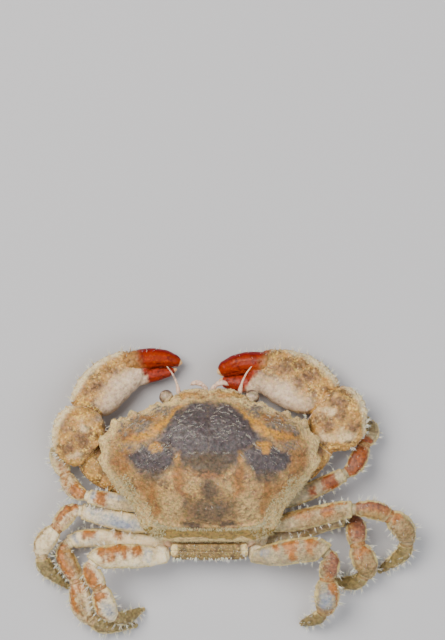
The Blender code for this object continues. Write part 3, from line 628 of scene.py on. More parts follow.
shell = {
    "outline": (
        (0.0, 10.05), (0.45, 10.28), (1.35, 10.36), (2.5, 10.26), (3.15, 10.02),
        (3.4, 9.72), (3.95, 9.68), (4.3, 9.1), (4.9, 8.76), (5.45, 8.72), (5.9, 8.9),
        (6.3, 8.62), (7.1, 8.08), (8.2, 7.6), (8.95, 7.98), (9.3, 7.1),
        (9.8, 7.0), (10.05, 7.22), (10.45, 6.7), (10.95, 7.02), (11.3, 5.85),
        (11.75, 5.2), (12.55, 4.9), (12.3, 3.7),
        (12.15, 3.15), (12.6, 2.4), (12.15, 1.45),
        (11.4, 0.45), (10.55, -0.75), (9.5, -1.85), (8.6, -3.05), (8.05, -4.3),
        (7.65, -5.4), (6.7, -6.35), (5.3, -6.85), (3.6, -6.98), (1.8, -7.0), (0.0, -6.95),
    ),
    "middle": (0.0, 1.6),
    "rimFront": 5.9, "rimSide": 6.2, "rimBack": 5.0, "rise": 4.4, "floor": 4.9, "mouthFloor": 3.05,
    "crown": 2.4, "shoulder": 0.62,  # powers that round the top
    "underDrop": 0.65, "lip": 0.4,  # how far the underside lies below the edge, inside it and at it
    "chord": 0.95, "columns": 4,  # outline's steps in mm, and points drawn for each
    "evenReach": 5,  # steps on each side that even the teeth out, for the rings inside the edge
    "toothCurve": 0.55,  # 0 joins the steps by straight lines and 1 by a curve
    "topRings": 104, "underRings": 30, "crowding": 1.35,  # rings crowd to the edge
    "lumpHeight": 0.05, "lumpSize": 0.7, "pebbleHeights": (0.015, 0.1), "pebbleSize": 0.42,
    "rimPebbleHeight": 0.15, "rimPebbleSize": 0.34,
    "wing": (6.6, 2.4),  # middle of the dark wing on one side
    # swellings on one side: place, half sizes and height
    "regions": (
        ((1.9, 9.1), (1.5, 0.7), 0.22), ((2.7, 6.2), (2.0, 1.9), 0.34), ((0.0, 3.9), (1.7, 1.6), 0.28),
        ((6.9, 6.2), (1.5, 1.2), 0.30), ((9.1, 4.1), (1.8, 1.0), 0.26), ((6.1, 2.9), (1.9, 1.1), 0.28),
        ((8.4, 0.6), (2.0, 1.6), 0.24), ((5.0, -1.4), (1.6, 1.8), 0.28), ((5.9, -4.2), (1.6, 1.1), 0.16),
        ((0.9, -0.9), (1.3, 1.3), 0.26), ((0.0, -4.0), (2.3, 0.9), 0.16),
    ),
    # furrows on one side: their line, half width and depth
    "furrows": (
        (((0.0, 9.9), (0.0, 6.2)), 0.16, 0.07),
        (((0.9, 2.0), (2.2, 1.7), (3.6, 2.7), (4.5, 4.1), (5.2, 5.4), (4.6, 7.2)), 0.45, 0.13),
        (((0.0, 1.0), (1.5, 0.9), (2.5, 1.5)), 0.24, 0.14),
        (((4.5, 4.1), (6.6, 4.9), (8.2, 5.2)), 0.28, 0.10),
        (((2.6, 0.6), (2.9, -1.2), (2.4, -2.4), (3.1, -4.2)), 0.26, 0.12),
        (((3.8, 1.2), (6.4, 0.6), (7.2, -1.8), (6.6, -4.6)), 0.26, 0.07),
    ),
    "ridge": (((0.0, -5.25), (3.2, -5.22), (5.2, -5.0), (6.4, -4.5)), 0.2, 0.22),
    # outlines of the dark middle and of the wing, on one side
    "dusk": (
        ((-0.3, 9.0), (1.5, 8.85), (2.5, 8.5), (3.7, 7.7), (4.85, 6.4), (5.6, 5.35), (6.2, 4.7), (5.2, 4.1),
         (3.9, 3.2), (2.7, 1.9), (1.0, 1.25), (-0.3, 1.1)),
        ((3.7, 3.4), (4.7, 4.1), (6.3, 4.75), (7.6, 3.9), (9.5, 2.8), (8.3, 1.2), (6.7, 0.5), (5.3, 0.6),
         (4.1, 2.0)),
    ),
    # the golden arc: places along its middle line, and half width there
    "gold": ((0.0, 9.3, 0.12), (1.9, 9.15, 0.2), (3.2, 8.5, 0.22), (4.4, 7.35, 0.26), (5.3, 6.45, 0.42),
             (6.5, 5.6, 0.52), (8.0, 5.0, 0.36), (9.6, 4.75, 0.12)),
    # patches of one side: middle, half sizes and strength
    "umber": (
        (0.0, 2.1, 3.0, 1.2, 1.0), (0.0, -1.0, 1.0, 1.5, 1.0), (0.0, -3.4, 3.2, 1.6, 0.8),
        (2.5, -2.6, 0.8, 0.7, 0.6), (6.4, 0.5, 1.6, 0.8, 0.7), (2.0, -4.9, 1.1, 0.35, 1.0),
    ),
    "streak": (
        (7.6, 6.3, 1.9, 1.1, 0.6), (5.3, 8.0, 1.1, 0.6, 0.6), (9.6, 5.9, 1.2, 0.8, 0.5),
        (9.2, 3.9, 1.3, 0.6, 0.5),
    ),
    "frost": ((2.6, 6.3, 2.2, 2.3, 0.24), (0.4, -3.0, 1.0, 1.2, 0.2)),
    "amberBelow": (
        (0.0, 5.2, 0.7, 2.4, 1.0), (7.7, 5.9, 2.0, 0.8, 0.66), (9.9, 4.2, 1.1, 0.8, 0.6),
        (3.2, 9.2, 2.4, 0.5, 0.6),
    ),
    "goldSpots": (
        (6.1, 3.9, 0.72, 0.48, 1.0), (6.2, 3.4, 0.45, 0.45, 0.75), (3.4, 2.5, 0.4, 0.9, 0.55),
        (2.6, 9.7, 1.9, 0.35, 0.6),
    ),
    "ember": (
        (0.0, 0.85, 1.7, 0.5, 0.9), (3.4, 0.5, 0.6, 2.4, 0.68), (8.8, 5.1, 1.4, 0.8, 0.7),
        (10.0, 2.4, 1.2, 1.5, 0.6), (7.6, -0.9, 0.9, 1.2, 0.55), (2.9, -0.7, 0.45, 1.3, 0.6),
        (6.5, -1.2, 0.6, 1.7, 0.62), (5.9, -3.4, 0.4, 1.4, 0.66), (9.6, 1.6, 0.9, 0.9, 0.6),
        (7.4, 7.0, 1.8, 0.5, 0.65), (1.6, 9.7, 2.4, 0.4, 0.6),
    ),
    "cream": (
        (2.2, -0.7, 0.7, 0.7, 0.75), (4.3, -2.9, 1.25, 1.5, 1.0), (4.6, -4.2, 1.5, 0.5, 0.9),
        (0.0, -4.6, 0.2, 0.3, 1.0), (8.0, -2.2, 0.8, 1.2, 0.6),
    ),
}


def outlineColumns():
    half = [vec(*p) for p in shell["outline"]]
    filled = []
    for start, end in zip(half, half[1:]):
        steps = max(1, round(float(np.linalg.norm(end - start)) / shell["chord"]))
        filled += [mix(start, end, i / steps) for i in range(steps)]
    filled.append(half[-1])
    filled += [p * vec(-1.0, 1.0) for p in reversed(filled[1:-1])]
    toothed = np.array(filled)
    reach = shell["evenReach"]
    even = sum(np.roll(toothed, k, axis=0) for k in range(-reach, reach + 1)) / (2 * reach + 1)
    toothed = refined(toothed, shell["toothCurve"])
    for _ in range(2):
        toothed = (np.roll(toothed, 1, axis=0) + 2.0 * toothed + np.roll(toothed, -1, axis=0)) / 4.0
    return toothed, refined(even, 1.0)


def refined(loop, softness):
    # more points round a closed loop, between straight chords and a curve through its corners
    finer = []
    p0, p1, p2, p3 = (np.roll(loop, k, axis=0) for k in (1, 0, -1, -2))
    for i in range(shell["columns"]):
        t = i / shell["columns"]
        curve = 0.5 * (2 * p1 + (p2 - p0) * t + (2 * p0 - 5 * p1 + 4 * p2 - p3) * t ** 2
                       + (3 * p1 - p0 - 3 * p2 + p3) * t ** 3)
        finer.append(mix(mix(p1, p2, t), curve, softness))
    return np.stack(finer, axis=1).reshape(-1, 2)


def rimHeight(x, y):
    height = mix(shell["rimBack"], shell["rimSide"], smoothStep(-6.9, 1.5, y))
    return mix(height, shell["rimFront"], smoothStep(6.0, 3.0, np.abs(x)) * smoothStep(6.0, 9.0, y))


def shellTop(x, y, ring):
    height = rimHeight(x, y) + shell["rise"] * (1.0 - ring ** shell["crown"]) ** shell["shoulder"]
    swell = np.zeros(x.shape)
    for (px, py), (hx, hy), rise in shell["regions"]:
        swell += rise * np.exp(-(((np.abs(x) - px) / hx) ** 2 + ((y - py) / hy) ** 2) ** 1.5)
    for line, half, depth in shell["furrows"]:
        gap, _ = distanceToLine(np.abs(x), y, line)
        swell -= depth * bell(gap, 0.0, half)
    line, half, rise = shell["ridge"]
    gap, _ = distanceToLine(np.abs(x), y, line)
    swell += rise * bell(gap, 0.0, half)
    return height + swell * smoothStep(1.0, 0.9, ring)


def shellUnder(x, y, ring):
    rim = rimHeight(x, y)
    lateral = np.minimum(shell["floor"], rim - shell["underDrop"])
    mouth = smoothStep(1.9, 3.2, y) * smoothStep(7.6, 5.2, np.abs(x)) * smoothStep(9.6, 8.4, y)
    inner = mix(lateral, shell["mouthFloor"], mouth)
    return mix(inner, rim - shell["lip"], smoothStep(0.8, 0.99, ring))


def shellMarkings(points, ring, under):
    x, y = wander(points)
    side, top = np.abs(x), 1.0 - under
    dusk = np.max([insidePatch(side, y, patch, 0.75) for patch in shell["dusk"]], axis=0)
    gap, share = distanceToLine(side, y, shell["gold"])
    width = np.interp(share, np.linspace(0.0, 1.0, len(shell["gold"])), [p[2] for p in shell["gold"]])
    arc = np.clip(0.5 + (width - gap) / 0.5, 0.0, 1.0) * mix(0.4, 1.0, smoothStep(2.6, 4.4, side))
    gold = np.maximum(arc, spots(side, y, shell["goldSpots"]))
    rimStart = mix(mix(0.86, 0.76, smoothStep(7.5, 9.0, y)), 0.72, smoothStep(0.0, -3.0, y))
    fields = {
        "dusk": dusk, "gold": gold, "rim": 0.85 * smoothStep(rimStart, 0.99, ring),
        "band": smoothStep(-5.25, -5.7, y) * smoothStep(-6.75, -6.5, y),
    }
    for pigment in ("umber", "streak", "frost", "ember", "cream"):
        fields[pigment] = spots(side, y, shell[pigment])
    fields = {name: field * top for name, field in fields.items()}
    below = under * spots(side, y, shell["amberBelow"])
    fields["gold"] = np.maximum(fields["gold"], below)
    fields["belly"] = under * smoothStep(1.0, 0.9, ring) * (1.0 - 0.8 * below)
    # granules: most on the edge, fewest on the dark middle and none behind the ridge
    towardEdge = mix(0.1, 1.0, smoothStep(0.6, 0.95, ring))
    fields["grain"] = towardEdge * smoothStep(-5.6, -5.0, y) * (1.0 - 0.9 * dusk)
    return fields


def buildShell():
    toothed, even = outlineColumns()
    middle = vec(*shell["middle"])
    steps = np.linspace(0.0, 1.0, shell["topRings"] + 1)[:-1]
    topShares = 1.0 - steps ** shell["crowding"]
    underShares = np.concatenate([[0.997, 0.99], np.linspace(0.98, 0.06, shell["underRings"])])
    rings, fields = [], []
    for ring, under in [(r, 1.0) for r in reversed(underShares)] + [(r, 0.0) for r in topShares]:
        flat = middle + (mix(even, toothed, smoothStep(0.78, 1.0, ring)) - middle) * ring
        x, y = flat[:, 0], flat[:, 1]
        if under:
            z = shellUnder(x, y, min(ring, 0.99)) + 0.6 * shell["lip"] * smoothStep(0.985, 1.0, ring)
        else:
            z = shellTop(x, y, ring)
        rings.append(np.stack([x, y, z], axis=1))
        fields.append((x, y, np.full(x.shape, ring), np.full(x.shape, under)))
    mesh = ringMesh("shell", np.array(rings))
    x, y, ring, under = (np.append(np.concatenate(f), [0.0, 0.0]) for f in zip(*fields))
    y[-2:], under[-2:] = shell["middle"][1], (1.0, 0.0)
    points = unplace(mesh)
    edge = smoothStep(0.62, 0.97, ring)
    lumps = shell["lumpHeight"] * roughness(points, shell["lumpSize"])
    lumps += mix(*shell["pebbleHeights"], edge) * pebbles(points, shell["pebbleSize"])
    beads = pebbles(points, shell["rimPebbleSize"], 6.0) - 0.3
    lumps += shell["rimPebbleHeight"] * smoothStep(0.88, 1.0, ring) * beads
    moveOut(mesh, lumps * (1.0 - 0.8 * smoothStep(-5.4, -5.8, y)))
    for name, values in shellMarkings(points, ring, under).items():
        setField(mesh, name, values)
    # texture that runs in lines: along the shell's edge, slanting on the wings and crosswise between them
    side = np.abs(x)
    away = np.hypot((side - shell["wing"][0]) / 3.6, (y - shell["wing"][1]) / 2.6)
    slanting = mix(0.5 * side + 0.87 * y, y, smoothStep(4.9, 4.2, side))
    lines = mix(slanting, 8.0 * ring, smoothStep(1.0, 1.3, away))
    lines = np.where((side < 4.6) & (y > 1.2), y, lines)
    setField(mesh, "flow", np.stack([x / 3.0, y / 3.0, lines], axis=1) * mm)
    turn = np.arctan2(y - middle[1], x) / math.tau + 0.5
    setField(mesh, "rootUv", np.stack([turn, ring * 0.5 + 0.5 * under, np.zeros(x.shape)], axis=1))
    return finished(linked("shell", mesh), skins["shell"], ["carapace"])


shellPiece = buildShell()
print("shell:", len(shellPiece.data.polygons), "faces")


chest = {
    # place along Y, half width, underside and top
    "stations": (
        (2.2, 1.3, 2.25, 2.7), (1.6, 3.4, 2.05, 3.5), (0.8, 5.0, 1.95, 3.95), (-1.0, 5.2, 1.9, 4.05),
        (-3.5, 5.25, 1.9, 4.05), (-6.2, 5.25, 1.9, 4.05), (-7.3, 5.1, 1.95, 4.05), (-7.8, 4.35, 2.1, 3.95),
        (-8.15, 3.6, 2.3, 3.8),
    ),
    "seams": (-1.45, -3.85, -5.95, -7.6),  # where one plate meets the next
    "seamDepth": 0.14, "seamWidth": 0.16, "grooveWidth": 0.13, "swell": 0.16,
    "sides": 72, "rings": 90,
}


def buildChest():
    sides, count = chest["sides"], chest["rings"]
    stations = np.array(chest["stations"])
    places = np.linspace(0.0, 1.0, count + 1)
    knots = np.linspace(0.0, 1.0, len(stations))
    y, half, low, high = (np.interp(places, knots, stations[:, i]) for i in range(4))
    angles = np.arange(sides) / sides * math.tau
    rings = []
    for i in range(count + 1):
        grow = 1.0 - 0.35 * max(0.0, 1.0 - min(i, count - i) / 3.0) ** 2
        x = half[i] * grow * signedPower(np.cos(angles), 0.5)
        z = mix(low[i], high[i], 0.5 + 0.5 * signedPower(np.sin(angles), 0.62))
        rings.append(np.stack([x, np.full(sides, y[i]), z], axis=1))
    mesh = ringMesh("chest", np.array(rings))
    points = unplace(mesh)
    x, y, z = points.T
    slope = 0.06 * np.abs(x)  # the seams fall back a little to each side
    seam = np.max([bell(y + slope, s, chest["seamWidth"]) for s in chest["seams"]], axis=0)
    seam *= smoothStep(1.1, 1.9, np.abs(x))
    groove = bell(x, 0.0, chest["grooveWidth"]) * smoothStep(2.4, 2.0, z) * smoothStep(-3.2, -2.6, y)
    swell = chest["swell"] * (1.0 - seam) * smoothStep(0.8, 3.6, np.abs(x))
    moveOut(mesh, swell - chest["seamDepth"] * np.maximum(seam, groove) + 0.02 * roughness(points, 0.9))
    setField(mesh, "seam", seam * 0.5)
    setField(mesh, "peach", spots(x, y, ((0.0, 0.6, 2.2, 1.9, 0.9),)) * smoothStep(3.0, 2.4, z))
    setField(mesh, "tan", smoothStep(3.6, 4.0, z))
    return finished(linked("chest", mesh), skins["chest"], ["sternum"])


tail = {
    "thickness": 0.6, "sides": 56, "rings": 64,
    "jointWidth": 0.022, "waist": 0.45,  # a joint's share of the length, and how much thinner it is
    # half width, then place along Y and Z of the middle of the plates
    "abdomen_back": (
        (4.2, -7.25, 4.68), (4.4, -7.9, 4.62), (4.35, -8.55, 4.25), (4.1, -8.85, 3.6), (3.9, -8.9, 2.85),
    ),
    "abdomen_flap": (
        (3.4, -8.75, 2.2), (2.9, -8.4, 1.55), (2.1, -7.6, 1.22), (1.7, -6.5, 1.15), (1.45, -5.3, 1.15),
        (1.2, -4.3, 1.18), (0.5, -3.5, 1.22),
    ),
    "plates": {"abdomen_back": (0.30, 0.62), "abdomen_flap": (0.18, 0.38, 0.60, 0.82)},  # their joints
}


def buildTail(node):
    stations = [vec(*s) for s in tail[node]]
    path = makeTube([(0.0, y, z) for _, y, z in stations], [1.0, 1.0], [1.0, 1.0])
    halves = makeTube([(half, 0.0, 0.0) for half, _, _ in stations], [1.0, 1.0], [1.0, 1.0])
    sides, count = tail["sides"], tail["rings"]
    angles = np.arange(sides) / sides * math.tau
    rings, shares = [], []
    for i in range(count + 1):
        share = i / count
        middle = tubeCentre(path, share)
        way = unit(tubeCentre(path, min(share + 0.01, 1.0)) - tubeCentre(path, max(share - 0.01, 0.0)))
        out = np.cross(way, vec(1.0, 0.0, 0.0))
        near = min(i, count - i) / 3.0
        end = 1.0 - 0.5 * max(0.0, 1.0 - near) ** 2
        joint = max(bell(share, p, tail["jointWidth"]) for p in tail["plates"][node])
        half = tubeCentre(halves, share)[0] * (1.0 - 0.03 * joint)
        deep = 0.5 * tail["thickness"] * end * (1.0 - tail["waist"] * joint)
        off = deep * signedPower(np.sin(angles), 0.7)
        across = half * signedPower(np.cos(angles), 0.86)
        rings.append(middle + across[:, None] * vec(1.0, 0.0, 0.0) + off[:, None] * out)
        shares.append(np.full(sides, joint))
    mesh = ringMesh(node + "_plates", np.array(rings))
    joints = np.append(np.concatenate(shares), [0.0, 0.0])
    points = unplace(mesh)
    moveOut(mesh, 0.025 * roughness(points, 0.6) + 0.02 * pebbles(points, 0.4))
    setField(mesh, "seam", joints * 0.6)
    setField(mesh, "belly", smoothStep(3.4, 2.4, points[:, 2]) * smoothStep(-8.8, -8.1, points[:, 1]))
    setField(mesh, "cream", spots(np.abs(points[:, 0]), points[:, 1], ((4.1, -7.9, 0.5, 0.8, 1.0),)))
    return finished(linked(node + "_plates", mesh), skins["tail"], [node])


jaws = {
    "path": ((2.55, 2.5, 2.5), (2.55, 4.2, 2.42), (2.5, 6.2, 2.4), (2.5, 7.75, 2.45)),
    "widths": (3.3, 4.1, 4.3, 4.3, 4.0, 3.4),
    "thicknesses": (0.5, 0.62, 0.66, 0.66, 0.6, 0.5),
    "squareness": 3.2, "sides": 72, "stations": 60, "groove": 0.07,
    "hinge": 0.62,  # share of the length where the plate is jointed
    # patches of one side: middle, half sizes and strength
    "rust": ((2.4, 7.8, 2.4, 0.9, 1.0), (4.3, 6.4, 0.5, 1.2, 0.75), (0.9, 7.0, 0.7, 0.5, 0.8)),
    "amber": ((0.5, 4.0, 0.65, 1.9, 1.0), (1.1, 2.9, 0.9, 0.6, 0.8)),
    "red": ((1.35, 5.1, 0.42, 1.5, 0.9), (0.8, 6.2, 0.5, 0.7, 0.75)),
}


def buildJaw(side, turn):
    path = [(turn * x, y, z) for x, y, z in jaws["path"]]
    tube = makeTube(path, jaws["widths"], jaws["thicknesses"], jaws["squareness"])

    def detail(share, angles):
        inner = bell(np.cos(angles) * turn, -0.35, 0.1)
        hinge = bell(share, jaws["hinge"], 0.02)
        return -jaws["groove"] * np.maximum(inner, hinge) * (np.sin(angles) < 0.2)

    mesh = tubeSkin("jaw_" + side, tube, jaws["sides"], jaws["stations"], detail=detail)[0]
    points = unplace(mesh)
    x, y = wander(points, 0.4, 1.1)
    moveOut(mesh, 0.02 * roughness(points, 0.5))
    for pigment in ("rust", "amber", "red"):
        setField(mesh, pigment, spots(np.abs(x), y, jaws[pigment]))
    return finished(linked("jaw_" + side, mesh), skins["jaws"], ["maxilliped_" + side])


buildChest()
for tailNode in ("abdomen_back", "abdomen_flap"):
    buildTail(tailNode)
for sideName, turned in (("left", -1.0), ("right", 1.0)):
    buildJaw(sideName, turned)
print("underside, tail and jaws built")


head = {
    "eye": ((4.28, 8.86, 5.0), (4.86, 9.42, 5.25), (5.46, 9.99, 5.4)),
    "eyeWidths": (1.0, 1.35, 1.62, 1.66, 1.62),
    "antenna": (
        (3.48, 9.85, 5.25), (3.56, 10.5, 5.55), (3.8, 11.3, 5.8), (4.25, 12.2, 6.05), (4.82, 12.95, 6.2),
    ),
    "antennaWidths": (0.5, 0.46, 0.36, 0.22, 0.19, 0.16, 0.13, 0.09),
    "antennaRings": 34, "ringHeight": 0.03,  # joints along the feeler
    "knuckle": 0.42, "knuckleDepth": 0.06,  # the joint of the feelerlet, as a share of its length
    "antennule": (
        (0.4, 10.0, 5.15), (0.5, 10.5, 5.35), (0.98, 10.94, 5.45), (1.62, 11.06, 5.42), (2.2, 10.75, 5.2),
    ),
    "antennuleWidths": (0.6, 0.62, 0.54, 0.6, 0.62, 0.48, 0.2),
}


def buildHead(side, turn):
    def mirrored(path):
        return [(turn * x, y, z) for x, y, z in path]

    eye = makeTube(mirrored(head["eye"]), head["eyeWidths"], head["eyeWidths"], 2.0)
    mesh, share, angle = tubeSkin("eyeball_" + side, eye, 48, 40, tipClose=0.52)
    setField(mesh, "stalk", smoothStep(0.42, 0.3, share))
    above = smoothStep(0.2, 0.9, np.sin(angle))
    setField(mesh, "cornea", smoothStep(0.42, 0.58, share) * mix(1.0, 0.5, above))
    finished(linked("eyeball_" + side, mesh), skins["eyes"], ["eye_" + side])

    def joints(share, angles):
        swell = max(0.0, math.cos(share * head["antennaRings"] * math.tau))
        return np.full(angles.shape, head["ringHeight"] * swell)

    feeler = makeTube(mirrored(head["antenna"]), head["antennaWidths"], head["antennaWidths"], 2.0)
    mesh = tubeSkin("feeler_" + side, feeler, 16, head["antennaRings"] * 6, detail=joints, tipClose=0.04)[0]
    finished(linked("feeler_" + side, mesh), skins["feelers"], ["antenna_" + side])

    def knuckles(share, angles):
        return np.full(angles.shape, -head["knuckleDepth"] * bell(share, head["knuckle"], 0.04))

    short = makeTube(mirrored(head["antennule"]), head["antennuleWidths"], head["antennuleWidths"], 2.0)
    mesh = tubeSkin("palp_" + side, short, 24, 48, detail=knuckles, tipClose=0.15)[0]
    finished(linked("palp_" + side, mesh), skins["feelers"], ["antennule_" + side])


for sideName, turned in (("left", -1.0), ("right", 1.0)):
    buildHead(sideName, turned)
print("eyes and feelers built")


legs = {
    "gap": 0.3, "sides": 44, "stations": 44,
    "depth": 0.86,  # height as a share of the width
    "boxy": 3.5,  # how square the blots of colour are
    "pebbleHeight": 0.03, "pebbleSize": 0.33,
    # the darker wash below is painted shade on the right legs, for light that falls from the left, and a
    # darker tone of the skin on the left legs
    "dunAndShade": {"left": (0.0, 0.2, 0.0, 0.45), "right": (0.6, 0.7, 0.68, 0.78)},  # darker wash on each segment
    "jointTan": (0.1, 0.6, 0.6), "jointRust": (0.0, 0.5, 0.1),  # knee, ankle and heel
    # hip, knee, ankle, heel and toe, the widths of the four segments, and how the joints face
    "leg2_left": (
        ((-5.55, -2.8, 3.0), (-13.9, -1.8, 4.8), (-16.4, 0.5, 2.7), (-16.7, 4.2, 1.5), (-12.9, 3.2, 0.25)),
        (1.95, 2.0, 2.1, 1.4), (0.12, 0.2, 0.7),
    ),
    "leg3_left": (
        ((-5.6, -4.95, 3.15), (-14.7, -3.55, 3.4), (-17.4, -5.5, 3.7),
         (-19.1, -8.8, 2.2), (-16.0, -12.6, 0.25)),
        (2.25, 2.1, 2.3, 1.9), (0.5, 0.12, 1.0),
    ),
    "leg4_left": (
        ((-5.55, -7.0, 2.25), (-16.0, -7.3, 1.9), (-15.1, -11.6, 3.0),
         (-13.4, -16.1, 1.8), (-8.1, -16.8, 0.25)),
        (2.15, 2.2, 2.6, 1.8), (0.1, -0.1, 0.6),
    ),
    "leg5_left": (
        ((-4.75, -8.6, 3.9), (-13.2, -9.45, 5.1), (-12.5, -12.2, 4.8),
         (-10.8, -15.6, 3.1), (-7.3, -14.9, 0.25)),
        (2.8, 2.2, 2.6, 1.6), (0.25, 0.1, 0.5),
    ),
    "leg2_right": (
        ((5.55, -2.8, 2.9), (15.5, 0.7, 3.7), (17.6, 3.9, 2.8), (18.1, 6.4, 1.6), (14.0, 6.3, 0.25)),
        (2.0, 2.1, 2.2, 1.4), (0.3, 0.04, 0.7),
    ),
    "leg3_right": (
        ((5.6, -4.95, 3.3), (16.4, -3.3, 5.2), (20.4, -4.1, 4.8), (22.5, -7.2, 2.8), (19.3, -10.8, 0.25)),
        (2.35, 2.2, 2.7, 1.9), (0.35, 0.16, 0.6),
    ),
    "leg4_right": (
        ((5.55, -7.0, 2.4), (15.9, -4.6, 2.2), (16.9, -7.4, 3.3), (17.6, -11.0, 2.1), (12.9, -11.9, 0.25)),
        (2.15, 2.4, 2.9, 1.8), (0.25, -0.04, 0.6),
    ),
    "leg5_right": (
        ((4.75, -8.5, 3.9), (13.3, -8.3, 5.2), (13.4, -11.2, 4.8), (12.9, -15.1, 3.0), (10.3, -16.7, 0.25)),
        (2.9, 2.3, 2.9, 1.6), (0.35, 0.1, 0.5),
    ),
}
segments = {
    # width along it as shares of the greatest, how far its path bends, heights of its ridges and lumps,
    # and how much of its blots and of its paleness shows below
    "merus": {
        "profile": (0.6, 0.66, 0.86, 1.0, 1.0, 0.98, 0.92, 0.78), "slot": "leg_thighs",
        "bend": 0.18, "ridge": 0.02, "rough": 0.035, "below": 0.0, "belly": 0.8,
    },
    "carpus": {
        "profile": (0.64, 0.82, 0.98, 1.0, 0.94, 0.8), "slot": "leg_knees",
        "bend": 0.36, "ridge": 0.07, "rough": 0.05, "below": 1.0, "belly": 0.2,
    },
    "propodus": {
        "profile": (0.7, 0.92, 1.0, 0.98, 0.82, 0.62), "slot": "leg_shanks",
        "bend": 0.36, "ridge": 0.06, "rough": 0.05, "below": 0.6, "belly": 0.55,
    },
    "dactylus": {
        "profile": (0.86, 1.0, 0.92, 0.76, 0.56, 0.3), "slot": "leg_tips",
        "bend": 0.36, "ridge": 0.05, "rough": 0.05, "below": 0.9, "belly": 0.1,
    },
}
